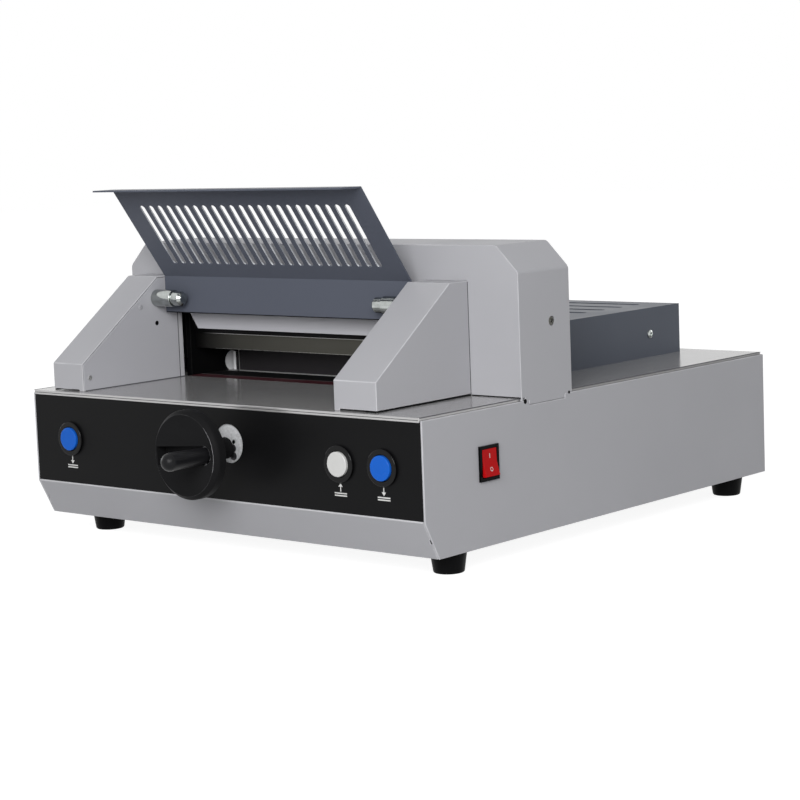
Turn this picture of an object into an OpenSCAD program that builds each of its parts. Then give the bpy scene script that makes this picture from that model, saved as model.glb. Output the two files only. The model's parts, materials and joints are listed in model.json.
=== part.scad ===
// Desktop electric paper cutter. A folded sheet cabinet carries a steel table, two wedge cheeks and a
// bridge. The bridge holds the knife and the clamp. A slotted guard swings between the cheeks, and a
// hand knob on a lead screw moves the back gauge under the rear cover.
// Inside each module y counts back from the front panel and z counts up from the table top.

/* [Cabinet] */
// Width over the two side walls
base_w = 525; // [510:1:560]
// Depth from the front panel to the rear wall
base_d = 577; // [570:1:640]
// Height of the table top above the ground
table_z = 151; // [146:1:165]
// Thickness of the folded sheet
wall_t = 2; // [1.6:0.1:2.4]
// Drop from the table top to the top edge of the side walls
side_drop = 2.7; // [2:0.1:3.4]
// Drop from the table top to the lower edge of the front panel
panel_drop = 95; // [92:1:100]
// Distance the skirt slants back at its lower edge
skirt_back = 18.5; // [12:0.5:26]
// Width of the bend relief at both ends of the skirt
relief_w = 1.75; // [1:0.25:3]
// Height of the bend relief
relief_h = 4; // [3:0.5:6]
// Bend relief below the panel
relief_drop = 19; // [12:0.5:24]
// Thickness of the table plates
table_t = 4.5; // [4:0.1:5.4]
// Gap between a table plate and the side walls
table_gap = 0.5; // [0.3:0.1:1]
// Overhang of the table past the front panel
table_lip = 0.8; // [0.2:0.1:2]
// Leg length of the angles under the table
rail_w = 20; // [15:1:24]
// Thickness of the angles under the table
rail_t = 3; // [2.5:0.5:4]

/* [Feet] */
// Height of a rubber foot
foot_h = 20; // [16:1:24]
// Radius of a foot at its top
foot_r_top = 17.5; // [15:0.5:19]
// Radius of a foot at the ground
foot_r_low = 14.5; // [12:0.5:16]
// Centre of the right feet from the middle
foot_right = 241; // [225:1:243]
// Centre of the left feet from the middle
foot_left = 219; // [200:1:235]
// Distance of the front feet behind the panel
foot_front = 57; // [45:1:75]
// Distance of the rear feet in front of the rear wall
foot_back = 45; // [30:1:70]

/* [Throat and cutting line] */
// Clear width between the two cheeks
throat_w = 345.5; // [338:0.5:352]
// Middle of the throat from the middle of the cabinet
throat_mid = -22.25; // [-26:0.25:-18]
// Distance of the cutting line behind the panel
cut_y = 168; // [167.5:0.5:170]
// Width of the cutting stick
stick_w = 20; // [16:0.5:21]
// Height of the cutting stick
stick_h = 10; // [8:0.5:12]
// Gap between the stick and the table plates
stick_gap = 0.2; // [0.1:0.05:0.4]
// Width of the groove worn in the stick
stick_nick = 1.6; // [1.2:0.1:2.4]
// Depth of the groove worn in the stick
stick_nick_d = 1.4; // [1.2:0.1:2]
// Wall of the channel under the stick
bed_wall = 5.5; // [4:0.5:6.5]
// Floor of the channel under the stick
bed_floor = 14; // [10:1:18]

/* [Frames] */
// Thickness of the two frame plates
frame_t = 8; // [6:0.5:10]
// Rear end of the upper part of the frames
frame_back = 222; // [218:0.5:223]
// Rear end of the lower tail of the frames
frame_tail = 245; // [238:1:255]
// Height of the lower tail of the frames
frame_tail_h = 47; // [42:1:48]
// Top of the frames above the table
frame_top = 130; // [126:1:134]
// Reach of the frames below the table
frame_low = 60; // [45:1:75]
// Radius of the sight hole in the left frame
sight_r = 11; // [9:0.5:12]
// Sight hole behind the panel
sight_y = 226; // [222:1:230]
// Sight hole above the table
sight_z = 9.5; // [8:0.5:14]
// Gap around the plug in the sight hole
plug_gap = 0.3; // [0.2:0.05:0.5]
// Width of the plug's rim
plug_rim = 1.2; // [0.8:0.1:2]
// Thickness of the plug's rim
plug_rim_t = 1.5; // [1:0.1:1.7]
// Depth of the plug's face inside the hole
plug_sink = 1; // [0.5:0.1:2]
// Lower face of the cross beam above the table
beam_z = 80; // [77:1:84]
// Height of the cross beam
beam_h = 20; // [17:1:22]
// Depth of the cross beam
beam_d = 38; // [34:1:40]
// Reach of the cross beam in front of the clamp's rods
beam_front = 14.5; // [12:0.5:15.5]

/* [Bridge cover] */
// Front face of the bridge behind the panel
bridge_y = 146.5; // [145:0.5:147]
// Depth of the bridge
bridge_d = 80; // [79:0.5:86]
// Height of the bridge above the table
bridge_h = 143.5; // [142.5:0.5:150]
// Leg of the bevelled upper corners
bridge_bevel = 25; // [20:0.5:28]
// Height of the front opening in the bridge
mouth_h = 100; // [92:1:106]
// Height of the rear opening in the bridge
mouth_rear_h = 51; // [49.5:0.5:56]
// Margin of both openings past the throat
mouth_side = 2; // [1.8:0.1:4]
// Depth of the tab that drops into the side wall
tab_drop = 4.2; // [3:0.1:6]
// Inset of that tab from both faces of the bridge
tab_inset = 12; // [8:0.5:18]
// Gap around the tab
tab_gap = 0.4; // [0.2:0.1:0.8]
// Side of the relief notch at the foot of the tab's wall
relief = 3; // [2:0.5:5]

/* [Cheeks] */
// Front face of the cheeks behind the panel
cheek_y = 9; // [6:0.5:14]
// Height of the upright front face
cheek_front_h = 28; // [22:0.5:34]
// Height of the cheeks
cheek_h = 109.5; // [107:0.5:112]
// Start of the flat top behind the panel
cheek_top_y = 119.5; // [114:0.5:126]
// Width of the left cheek
left_cheek_w = 44.5; // [40:0.5:50]
// Width of the right cheek
right_cheek_w = 52; // [46:0.5:58]
// Sheet thickness of the cheeks
cheek_t = 1.6; // [1.2:0.1:2]
// Gap between a cheek and its inner panel
cheek_gap = 0.3; // [0.2:0.05:0.6]
// Clear slit under the outer side of a cheek
cheek_slit = 1.6; // [1:0.1:2.4]
// Width of the bright liner behind each cheek
liner_d = 6.5; // [5:0.5:6.5]
// Height of the bright liner
liner_h = 98; // [90:1:104]

/* [Guard] */
// Gap between the guard and each cheek
guard_gap = 2.9; // [2.4:0.1:4]
// Sheet thickness of the guard
guard_t = 1.6; // [1.2:0.1:2]
// Fold of the raised guard behind the panel
fold_y = 128; // [127:0.25:129]
// Fold of the raised guard above the table
fold_z = 109.5; // [108:0.5:111]
// Height of the flange under the fold
flange_h = 38.5; // [36:0.5:41]
// Length of the slotted plate
plate_len = 114; // [110:0.5:116]
// Lean of the raised plate from upright
plate_lean = 36; // [33:0.5:39]
// Length of the lip
lip_len = 27.5; // [24:0.5:28]
// Number of slots
slot_count = 23; // [19:1:25]
// Distance from slot to slot
slot_pitch = 12.8; // [11:0.1:13.4]
// Width of a slot
slot_w = 6.4; // [5:0.1:8]
// Lower end of a slot from the fold
slot_from = 17; // [13:0.5:22]
// Upper end of a slot from the fold
slot_to = 94.5; // [86:0.5:100]
// Hinge axis behind the panel
hinge_y = 117.5; // [116.5:0.25:118]
// Hinge axis above the table
hinge_z = 87; // [86:0.25:88.5]
// Radius of the hinge bolt
hinge_r = 5; // [4:0.25:6]
// Clearance of the hinge bolt in its sleeve
hinge_fit = 0.05; // [0.02:0.01:0.09]
// Outer radius of the sleeve
sleeve_r = 9; // [8:0.25:9.5]
// Length of the sleeve
sleeve_len = 27; // [22:0.5:32]
// End gap of the sleeve
sleeve_gap = 0.3; // [0.2:0.05:0.6]
// Half height of the pad between sleeve and flange
pad_h = 5; // [4:0.5:7]
// Radius of the bolt head
bolt_head_r = 7.6; // [6.5:0.1:8.5]
// Length of the bolt head
bolt_head_l = 13; // [10:0.5:16]
// Length of the tapered end of the bolt head
bolt_dome = 3; // [2:0.25:4]
// Taper of the bolt head
bolt_taper = 2.5; // [1.5:0.25:3]
// Length of the nut behind the panel
bolt_nut_l = 6; // [4:0.5:9]

/* [Knife] */
// Thickness of the knife carrier
carrier_t = 8; // [7.4:0.1:8.4]
// Lower edge of the raised carrier above the table
carrier_z = 52; // [50:0.5:54]
// Height of the bevelled lower corners
carrier_bevel_z = 23; // [20:0.5:24]
// Width of the bevelled lower corners
carrier_bevel_x = 15.5; // [13:0.5:18]
// Inset of the lower edge from the throat
carrier_inset = 22.3; // [20:0.1:26]
// Height of the wings that run in the guides
wing_h = 43; // [40:0.5:45]
// Thickness of the blade
blade_t = 6; // [5.6:0.1:6.4]
// Edge of the raised blade above the table
blade_z = 45.5; // [45:0.5:47]
// Height of the blade
blade_h = 50; // [44:0.5:54]
// Height of the ground bevel
blade_bevel = 14; // [10:0.5:18]
// Land left at the cutting edge
blade_land = 0.3; // [0.2:0.05:0.6]
// Gap between the blade's ends and the throat
blade_gap = 5; // [3:0.5:7]
// Stroke of the knife
knife_stroke = 46; // [43:0.5:46]
// Lip thickness of the knife guides
guide_lip = 1.8; // [1.4:0.1:1.8]
// Play of the wings in the guides
guide_play = 0.2; // [0.15:0.05:0.3]
// Overlap of a guide on the wing
guide_lap = 4; // [3:0.5:6]
// Width of a guide outside the wing
guide_w = 12; // [10:0.5:13.5]
// Space above and below the wing in the right guide
guide_end = 3; // [2:0.5:4]
// Height of the solid ends of the right guide
guide_cap = 8; // [6:0.5:9]

/* [Knife drive] */
// Distance of the crank axis inside the right wall
crank_inset = 26; // [25:0.5:28]
// Crank radius
crank_r = 31; // [29:0.5:33]
// Radius of the crank hub
crank_hub_r = 15; // [13:0.5:16]
// Radius of the crank tip
crank_tip_r = 9.5; // [8.5:0.25:10]
// Thickness of the crank arm
crank_t = 7; // [5.5:0.5:8]
// Gap between the crank arm and the frames
crank_gap = 0.5; // [0.3:0.1:1]
// Gap between the crank arm and its bracket
bracket_gap = 2; // [1:0.25:2.5]
// Radius of the crank shaft
crank_shaft_r = 7; // [6:0.25:8]
// Clearance of the crank shaft in its bracket
crank_fit = 0.05; // [0.02:0.01:0.09]
// Radius of the roller
roller_r = 6; // [5:0.25:7]
// Play of the roller in the slot
roller_play = 1.3; // [1.2:0.1:1.5]
// Length of the roller in front of the carrier
roller_nose = 1.5; // [0.5:0.25:2]
// Strip of metal round the roller slot
lug_rim = 8; // [6:0.5:9]
// Height of the roller slot above the wing's lower edge
lug_rise = 25; // [22:0.5:27]
// Thickness of the drive bracket
bracket_t = 4; // [3:0.5:5]
// Height of the drive bracket
bracket_h = 76; // [68:1:84]
// Gap between the bracket and the right wall
bracket_side = 4; // [3:0.5:6]
// Side of the gearbox
gearbox_w = 44; // [40:1:46]
// Height of the gearbox
gearbox_h = 54; // [46:1:58]
// Depth of the gearbox
gearbox_d = 40; // [34:1:43]
// Radius of the motor can
motor_r = 20; // [16:0.5:21]
// Length of the motor can
motor_len = 42; // [34:1:45]

/* [Clamp] */
// Gap between the clamp and the back of the blade
clamp_gap = 2; // [1.5:0.1:3]
// Depth of the clamp's foot
clamp_d = 38; // [36:0.5:40]
// Thickness of the clamp's foot
clamp_foot_t = 8; // [6:0.5:10]
// Thickness of the clamp's upright
clamp_web_t = 9; // [7:0.5:10]
// Height of the clamp's upright
clamp_web_h = 33; // [28:1:38]
// Lower face of the raised clamp above the table
clamp_z = 29; // [28.5:0.5:31]
// Gap between the clamp's ends and the throat
clamp_side = 2; // [1:0.5:4]
// Stroke of the clamp
clamp_stroke = 28; // [24:0.5:28.5]
// Radius of the clamp's guide rods
clamp_rod_r = 7; // [6:0.25:8]
// Length of the clamp's guide rods
clamp_rod_len = 100; // [94:1:102]
// Spread of the guide rods from the throat's middle
clamp_rod_x = 108; // [95:1:125]
// Clearance of the guide rods in the beam
clamp_fit = 0.05; // [0.02:0.01:0.09]
// Radius of the clamp spindle
spindle_r = 6; // [5:0.25:7]
// Gap between the spindle and its nut
spindle_gap = 0.3; // [0.25:0.05:0.5]
// Radius of the nut's hub
nut_hub_r = 11; // [10:0.5:12]
// Radius of the nut's wheel
nut_wheel_r = 17; // [15:0.5:18]
// Thickness of the nut's wheel
nut_wheel_t = 10; // [8:0.5:12]
// Gap between the nut's hub and the beam's lower face
nut_raise = 2; // [1:0.5:4]
// Clearance of the hub in the beam
nut_fit = 0.05; // [0.02:0.01:0.09]
// Space between the wheel and the drive housing
nut_space = 1.5; // [1:0.25:2]
// Length of the clamp's drive housing
clamp_box_l = 112; // [104:1:120]
// End wall of the clamp's drive housing
clamp_box_wall = 6; // [4:0.5:8]
// Reach of the drive housing in front of the spindle
clamp_box_front = 22; // [20.5:0.5:24]
// Height of the clamp's drive housing
clamp_box_h = 16; // [13:0.5:18]
// Radius of the clamp's motor
clamp_motor_r = 16; // [13:0.5:17]
// Height of the clamp's motor
clamp_motor_h = 22; // [16:1:24]

/* [Back gauge] */
// Knob axis from the middle of the cabinet
knob_x = 17.5; // [12:0.5:22]
// Knob axis below the table top
knob_drop = 42.5; // [40:0.5:44]
// Radius of the knob's disc
knob_r = 43; // [40:0.5:46]
// Thickness of the knob's disc
knob_t = 15; // [14:0.5:18]
// Distance of the disc's front face from the panel
knob_proud = 57.5; // [50:0.5:62]
// Bevel of the disc's front edge
knob_edge = 4; // [2:0.25:4.5]
// Bevel of the disc's rear edge
knob_back_edge = 2; // [1:0.25:3]
// Radius of the knob's hub
hub_r = 10.5; // [9:0.5:12]
// Gap between the hub and the bearing plate
hub_gap = 4; // [3:0.25:6]
// Turn of the knob at rest
knob_turn = 4; // [0:1:8]
// Pivot of the folding handle from the knob axis
pivot_x = 26; // [24:0.5:27]
// Depth of that pivot behind the disc's face
pivot_depth = 3.2; // [3:0.1:3.6]
// Radius of the pivot pin
pivot_r = 1.6; // [1.4:0.1:1.8]
// Clearance of the handle on its pin
pivot_fit = 0.05; // [0.02:0.01:0.09]
// Reach of the pin into the disc on both sides of the groove
pivot_hold = 6; // [4:0.5:8]
// Radius of the handle at its pivot
handle_root_r = 7.6; // [7:0.1:8]
// Radius of the handle at its round end
handle_r = 8.7; // [8.2:0.1:9]
// Reach of the handle in front of the disc
handle_len = 51.5; // [46:0.5:54]
// Gap round the handle in its groove
handle_gap = 0.4; // [0.3:0.05:0.6]
// Width of the disc's rim at the open end of the groove
groove_rim = 2.5; // [2:0.25:4]
// Radius of the lead screw
screw_r = 6; // [5:0.25:7]
// Clearance of the lead screw in its bearings
screw_fit = 0.05; // [0.02:0.01:0.09]
// Gap between the lead screw and the carriage
screw_gap = 0.3; // [0.25:0.05:0.5]
// Radius of the lead screw's collar
collar_r = 10; // [8.5:0.5:12]
// Length of the lead screw's collar
collar_len = 6; // [4:0.5:9]
// End gap of the collar
collar_gap = 0.3; // [0.2:0.05:0.6]
// Length of the lead screw behind the rear bar
screw_tail = 4; // [2:0.5:6]
// Radius of the round hole in the panel
panel_hole_r = 19; // [16:0.5:21]
// That hole beside the knob axis
panel_hole_x = 1.8; // [0:0.1:3]
// That hole above the knob axis
panel_hole_up = 4; // [0:0.1:5]
// Width of the bearing plate behind that hole
bearing_w = 62; // [54:1:70]
// Thickness of the bearing plate
bearing_t = 4; // [3:0.5:6]
// Radius of the spare hole in the bearing plate
spare_r = 2; // [1.5:0.25:2.25]
// Spare hole beside the knob axis
spare_x = 7.5; // [7:0.5:12]
// Spare hole above the knob axis
spare_up = 6; // [5.5:0.5:10]
// Depth of the two bars that hold the guide rods
bar_d = 12; // [9:0.5:13]
// Front bar behind the cutting line
bar_from_cut = 16.5; // [16.5:0.5:18]
// Rear bar in front of the rear wall
bar_from_back = 27; // [25:0.5:30]
// Reach of the bars below the guide rods
bar_under = 16; // [12:0.5:20]
// Spread of the guide rods from the knob axis
rod_x = 65; // [55:1:75]
// Radius of the guide rods
rod_r = 6; // [5:0.25:7]
// Clearance of the guide rods in the carriage
rod_fit = 0.05; // [0.02:0.01:0.09]
// Margin of the bars and carriage outside the rods
rod_margin = 16; // [12:0.5:20]
// Length of the carriage
carriage_len = 40; // [34:1:44]
// Height of the carriage
carriage_h = 26; // [22:0.5:30]
// Gap between the front bar and the carriage
carriage_gap = 1.5; // [1:0.25:2.5]
// Gap between the carriage and the rear bar at the end of its travel
carriage_end = 12; // [10:0.5:25]
// Width of the back gauge
gauge_w = 292; // [270:1:310]
// Middle of the back gauge from the throat's middle
gauge_mid = -4; // [-8:0.5:2]
// Thickness of the back gauge
gauge_t = 10; // [8:0.5:12]
// Height of the back gauge
gauge_h = 40; // [34:0.5:43]
// Lift of the back gauge over the table
gauge_lift = 0.8; // [0.5:0.1:1.5]
// Space between the clamp and the back gauge
gauge_space = 5; // [3:0.5:7]
// Width of the neck under the back gauge
neck_w = 10; // [8:0.5:12]
// Depth of the neck under the back gauge
neck_d = 12; // [9:0.5:14]
// Height of the neck above the table
neck_h = 28; // [20:0.5:32]
// Side play of the neck in the table's slot
neck_play = 1.5; // [1:0.25:2.5]
// End play of the neck in the table's slot
neck_end = 6; // [4:0.5:9]

/* [Rear cover] */
// Margin of the cover outside the throat on both sides
cover_side = 24.25; // [21:0.25:30]
// Rear side of the cover in front of the rear wall
cover_inset = 29; // [22:0.5:31]
// Height of the cover
cover_h = 53; // [51.5:0.5:58]
// Sheet thickness of the cover
cover_t = 1.6; // [1.2:0.1:2]
// Number of slots in the cover's top
cover_slots = 9; // [5:1:9]
// Length of a slot
cover_slot_l = 328; // [280:1:340]
// Width of a slot
cover_slot_w = 9; // [6:0.5:12]
// Distance from slot to slot
cover_slot_p = 33; // [26:0.5:35]

/* [Push buttons] */
// Left button from the middle of the cabinet
button_left_x = -207; // [-216:0.5:-199]
// White button from the middle of the cabinet
button_white_x = 162.5; // [154:0.5:169]
// Right button from the middle of the cabinet
button_right_x = 215; // [209:0.5:226]
// Buttons below the table top
button_drop = 48; // [45:0.5:52]
// Radius of a cap
cap_r = 11.8; // [10.5:0.1:12.2]
// Height of a cap over its bezel
cap_proud = 2; // [1.5:0.25:3]
// Length of a cap behind its bezel's face
cap_len = 14; // [12:0.5:15]
// Gap round a cap
cap_gap = 0.3; // [0.25:0.05:0.5]
// Outer radius of a bezel
bezel_r = 17.5; // [16.5:0.25:18]
// Height of a bezel over the panel
bezel_proud = 3; // [2.5:0.25:4.5]
// Wall of the tube behind a bezel
tube_wall = 1.5; // [1.2:0.1:1.8]
// Length of the tube behind the panel
tube_len = 20; // [18:0.5:24]
// Closed end of the tube
tube_floor = 2; // [1.5:0.25:3]
// Gap between a tube and the panel
tube_gap = 0.3; // [0.2:0.05:0.5]
// Radius of a cap's stem
stem_r = 3; // [2.5:0.1:4]
// Clearance of a stem
stem_fit = 0.05; // [0.02:0.01:0.09]
// Length of a stem behind the tube
stem_len = 4; // [3:0.5:6]

/* [Rocker switch] */
// Middle of the rocker behind the panel
rocker_y = 93; // [85:0.5:100]
// Middle of the rocker below the table top
rocker_drop = 53; // [50:0.5:56]
// Depth of the bezel along the wall
rocker_w = 28; // [26:0.5:31]
// Height of the bezel
rocker_h = 33; // [31:0.5:36]
// Height of the bezel over the wall
rocker_rim = 2.2; // [1.5:0.1:3]
// Width of the bezel's frame
rocker_frame = 3; // [2.4:0.1:3.4]
// Depth of the housing inside the wall
rocker_depth = 16; // [14:0.5:18]
// Closed end of the housing
rocker_floor = 2; // [1.5:0.25:3]
// Length by which the pivot stays inside the housing's sides
rocker_short = 0.2; // [0.1:0.05:0.4]
// Gap between the rocker and its frame
rocker_gap = 0.7; // [0.6:0.05:1]
// Outer end of the rocker from its pivot
rocker_end = 4; // [3.4:0.1:4.6]
// Outer middle of the rocker from its pivot
rocker_dip = 2.4; // [2:0.1:3]
// Inner side of the rocker from its pivot
rocker_in = 4; // [3:0.1:5]
// Tilt of the rocker at rest
rocker_tilt = 9; // [7:0.5:10]
// Radius of the rocker's pivot
rocker_pin = 1.5; // [1.2:0.1:2]
// Clearance of the rocker's pivot
rocker_fit = 0.05; // [0.02:0.01:0.09]
// Gap between the housing and the wall
rocker_slack = 0.3; // [0.2:0.05:0.5]

/* [Power inlet and electronics] */
// Inlet from the middle of the cabinet
inlet_x = 196; // [180:1:205]
// Inlet below the table top
inlet_drop = 92; // [88:1:98]
// Width of the inlet's body
inlet_w = 31; // [29:0.5:34]
// Height of the inlet's body
inlet_h = 24; // [22.5:0.5:26]
// Depth of the inlet's body
inlet_d = 24; // [21:0.5:28]
// Width of the socket
socket_w = 24.5; // [23:0.25:26]
// Height of the socket
socket_h = 17; // [15.5:0.25:18]
// Depth of the socket
socket_d = 17; // [15:0.5:18]
// Length of the contact blades
contact_l = 10; // [8:0.5:11]
// Distance from contact to contact
contact_pitch = 7; // [6:0.5:8]
// Height of the middle contact over the socket's middle, and of the others below it
contact_rise = 2; // [1:0.5:3]
// Thickness of the contacts
contact_t = 2; // [1.5:0.25:2.5]
// Height of the contacts
contact_h = 4; // [3:0.5:5]
// Margin of the inlet's inner flange
inlet_rim = 5; // [4:0.5:7]
// Thickness of the inlet's inner flange
inlet_rim_t = 3; // [2:0.5:4]
// Gap between the inlet and the rear wall
inlet_gap = 0.3; // [0.2:0.05:0.5]
// Width of the control unit
control_w = 120; // [100:1:130]
// Depth of the control unit
control_d = 130; // [110:1:150]
// Height of the control unit
control_h = 42; // [34:1:50]
// Control unit behind the panel
control_y = 330; // [300:1:360]
// Gap between the control unit and the table rail
control_gap = 6; // [3:0.5:10]
// Number of vent slots in each group of the rear wall
vent_count = 6; // [4:1:8]
// Distance from vent to vent
vent_pitch = 9; // [8:0.5:10]
// Width of a vent slot
vent_w = 3.5; // [2.5:0.5:5]
// Length of a vent slot
vent_l = 70; // [50:1:90]
// Middle of a vent group from the middle of the cabinet
vent_x = 90; // [80:1:100]

/* [Hidden] */
$fn = 48;
eps = 0.01;
half_w = base_w / 2;
wall_in = half_w - wall_t;
base_drop = table_z - foot_h;
knob_reach = knob_proud + handle_len;
hub_end = hub_gap - wall_t;
pivot_y = -knob_proud + pivot_depth;
groove_half = handle_r + handle_gap;
groove_floor = pivot_y + handle_r + handle_gap;
groove_end = knob_r - knob_edge - groove_rim;
pin_half = groove_half + pivot_hold;
rocker_half = rocker_h / 2 - rocker_frame - rocker_gap;
rocker_cut_w = rocker_w / 2 - rocker_frame / 2;
rocker_cut_h = rocker_h / 2 - rocker_frame / 2;
rocker_out = rocker_end * cos(rocker_tilt) + rocker_half * sin(rocker_tilt);
shift_x = -rocker_out / 2;
shift_y = knob_reach - (base_d + knob_reach) / 2;
throat_l = throat_mid - throat_w / 2;
throat_r = throat_mid + throat_w / 2;
bridge_back = bridge_y + bridge_d;
blade_y = cut_y - blade_t;
carrier_y = blade_y - carrier_t;
frame_y = blade_y + guide_play + guide_lip;
stick_y = cut_y - stick_w / 2;
stick_back = cut_y + stick_w / 2;
bed_low = stick_h + bed_floor;
clamp_y = cut_y + clamp_gap;
clamp_back = clamp_y + clamp_d;
rod_clamp_y = clamp_back - clamp_d / 4;
beam_y = rod_clamp_y - beam_front;
beam_back = beam_y + beam_d;
wing_z = carrier_z + carrier_bevel_z;
wing_top = wing_z + wing_h;
lug_z = wing_z + lug_rise;
crank_x = half_w - crank_inset;
crank_z = lug_z - knife_stroke / 2;
swing = asin(knife_stroke / 2 / crank_r);
roller_in_x = crank_x - crank_r;
roller_out_x = crank_x - crank_r * cos(swing);
slot_half = roller_r + roller_play;
crank_y = frame_y + crank_gap;
bracket_y = crank_y + crank_t + bracket_gap;
gearbox_y = bracket_y + bracket_t;
clamp_mid_x = throat_mid;
bar_y = cut_y + bar_from_cut;
bar_back = base_d - bar_from_back;
carriage_y = bar_y + bar_d + carriage_gap;
gauge_travel = bar_back - carriage_y - carriage_len - carriage_end;
gauge_y = clamp_back + gauge_space;
neck_y = gauge_y + gauge_t;
gauge_l = throat_mid + gauge_mid - gauge_w / 2;
carriage_top = -knob_drop + carriage_h / 2;
cover_l = throat_l - cover_side;
cover_r = throat_r + cover_side;
cover_back = base_d - cover_inset;
guard_l = throat_l + guard_gap;
guard_r = throat_r - guard_gap;
lip_y = fold_y - plate_len * sin(plate_lean);
lip_z = fold_z + plate_len * cos(plate_lean);
tube_r = cap_r + cap_gap + tube_wall;
button_xs = [button_left_x, button_white_x, button_right_x];
slope = atan((cheek_h - cheek_front_h) / (cheek_top_y - cheek_y));

grey = [0.62, 0.62, 0.64];
dark_grey = [0.24, 0.26, 0.3];
black = [0.07, 0.07, 0.075];
steel = [0.72, 0.73, 0.74];
dark_steel = [0.27, 0.27, 0.24];
chrome = [0.83, 0.84, 0.85];
zinc = [0.66, 0.67, 0.66];
blue = [0.1, 0.36, 0.78];
white = [0.92, 0.92, 0.9];
red = [0.72, 0.08, 0.08];
stick_red = [0.36, 0.1, 0.12];
rubber = [0.05, 0.05, 0.05];
green = [0.1, 0.32, 0.2];

// Moves a module's panel and table based sizes to the object's own origin.
module place() {
  translate([shift_x, shift_y, table_z])
    children();
}

// Block between two opposite corners.
module block(low, high) {
  translate(low)
    cube(high - low);
}

// Outline in y and z drawn out along x.
module side_shape(x0, x1, outline) {
  translate([x0, 0, 0])
    rotate([90, 0, 90])
      linear_extrude(height = x1 - x0)
        polygon(outline);
}

// Outline in x and z drawn out along y.
module front_shape(y0, y1, outline) {
  translate([0, y1, 0])
    rotate([90, 0, 0])
      linear_extrude(height = y1 - y0)
        polygon(outline);
}

// Round bar along y.
module bar_y_axis(x, z, y0, y1, r) {
  translate([x, y0, z])
    rotate([-90, 0, 0])
      cylinder(r = r, h = y1 - y0);
}

// Round bar along x.
module bar_x_axis(y, z, x0, x1, r) {
  translate([x0, y, z])
    rotate([0, 90, 0])
      cylinder(r = r, h = x1 - x0);
}

// Round bar along z.
module bar_z_axis(x, y, z0, z1, r) {
  translate([x, y, z0])
    cylinder(r = r, h = z1 - z0);
}

// Outline of a side wall with the slanted front corner.
wall_outline = [
  [0, -side_drop],
  [base_d, -side_drop],
  [base_d, -base_drop],
  [skirt_back, -base_drop],
  [0, -panel_drop]
];

// Room in a side wall for the bridge's tab.
module tab_room(x0, x1) {
  block([x0, bridge_y + tab_inset - tab_gap, -side_drop - tab_drop - tab_gap],
        [x1, bridge_back - tab_inset + tab_gap, 1]);
}

module left_wall() {
  color(grey)
    place()
      difference() {
        side_shape(-half_w, -wall_in, wall_outline);
        tab_room(-half_w - 1, -wall_in + 1);
      }
}

module right_wall() {
  color(grey)
    place()
      difference() {
        side_shape(wall_in, half_w, wall_outline);
        tab_room(wall_in - 1, half_w + 1);
        block([wall_in - 1, rocker_y - rocker_cut_w, -rocker_drop - rocker_cut_h],
              [half_w + 1, rocker_y + rocker_cut_w, -rocker_drop + rocker_cut_h]);
      }
}

module rear_wall() {
  color(grey)
    place()
      difference() {
        block([-wall_in, base_d - wall_t, -base_drop], [wall_in, base_d, -side_drop]);
        block([inlet_x - inlet_w / 2 - inlet_gap, base_d - wall_t - 1,
               -inlet_drop - inlet_h / 2 - inlet_gap],
              [inlet_x + inlet_w / 2 + inlet_gap, base_d + 1, -inlet_drop + inlet_h / 2 + inlet_gap]);
        for (side = [-1, 1])
          for (i = [0 : vent_count - 1])
            vent(side * vent_x - vent_l / 2, -inlet_drop + (i - (vent_count - 1) / 2) * vent_pitch);
      }
}

// One vent slot with round ends.
module vent(x, z) {
  block([x + vent_w / 2, base_d - wall_t - 1, z - vent_w / 2],
        [x + vent_l - vent_w / 2, base_d + 1, z + vent_w / 2]);
  bar_y_axis(x + vent_w / 2, z, base_d - wall_t - 1, base_d + 1, vent_w / 2);
  bar_y_axis(x + vent_l - vent_w / 2, z, base_d - wall_t - 1, base_d + 1, vent_w / 2);
}

module skirt() {
  color(grey)
    place()
      difference() {
        side_shape(-wall_in, wall_in, [
          [0, -panel_drop],
          [wall_t, -panel_drop],
          [skirt_back + wall_t, -base_drop],
          [skirt_back, -base_drop]
        ]);
        for (x = [-wall_in, wall_in])
          block([x - relief_w, -1, -panel_drop - relief_drop - relief_h / 2],
                [x + relief_w, skirt_back + wall_t + 1, -panel_drop - relief_drop + relief_h / 2]);
      }
}

module bottom_plate() {
  color(grey)
    place()
      block([-wall_in, skirt_back + wall_t, -base_drop], [wall_in, base_d - wall_t, -base_drop + wall_t]);
}

module front_panel() {
  color(black)
    place()
      difference() {
        block([-wall_in, 0, -panel_drop], [wall_in, wall_t, -table_t]);
        bar_y_axis(knob_x + panel_hole_x, -knob_drop + panel_hole_up, -1, wall_t + 1, panel_hole_r);
        for (x = button_xs)
          bar_y_axis(x, -button_drop, -1, wall_t + 1, tube_r + tube_gap);
      }
}

module work_table() {
  color(steel)
    place()
      block([-wall_in + table_gap, -table_lip, -table_t], [wall_in - table_gap, stick_y - stick_gap, 0]);
}

module rear_table() {
  color(steel)
    place()
      difference() {
        block([-wall_in + table_gap, stick_back + stick_gap, -table_t],
              [wall_in - table_gap, base_d - wall_t, 0]);
        block([throat_l - frame_t - stick_gap, 0, -table_t - 1],
              [throat_l + stick_gap, frame_tail + stick_gap, 1]);
        block([throat_r - stick_gap, 0, -table_t - 1],
              [throat_r + frame_t + stick_gap, frame_tail + stick_gap, 1]);
        block([knob_x - neck_w / 2 - neck_play, neck_y - neck_end, -table_t - 1],
              [knob_x + neck_w / 2 + neck_play, neck_y + neck_d + gauge_travel + neck_end, 1]);
      }
}

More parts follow.
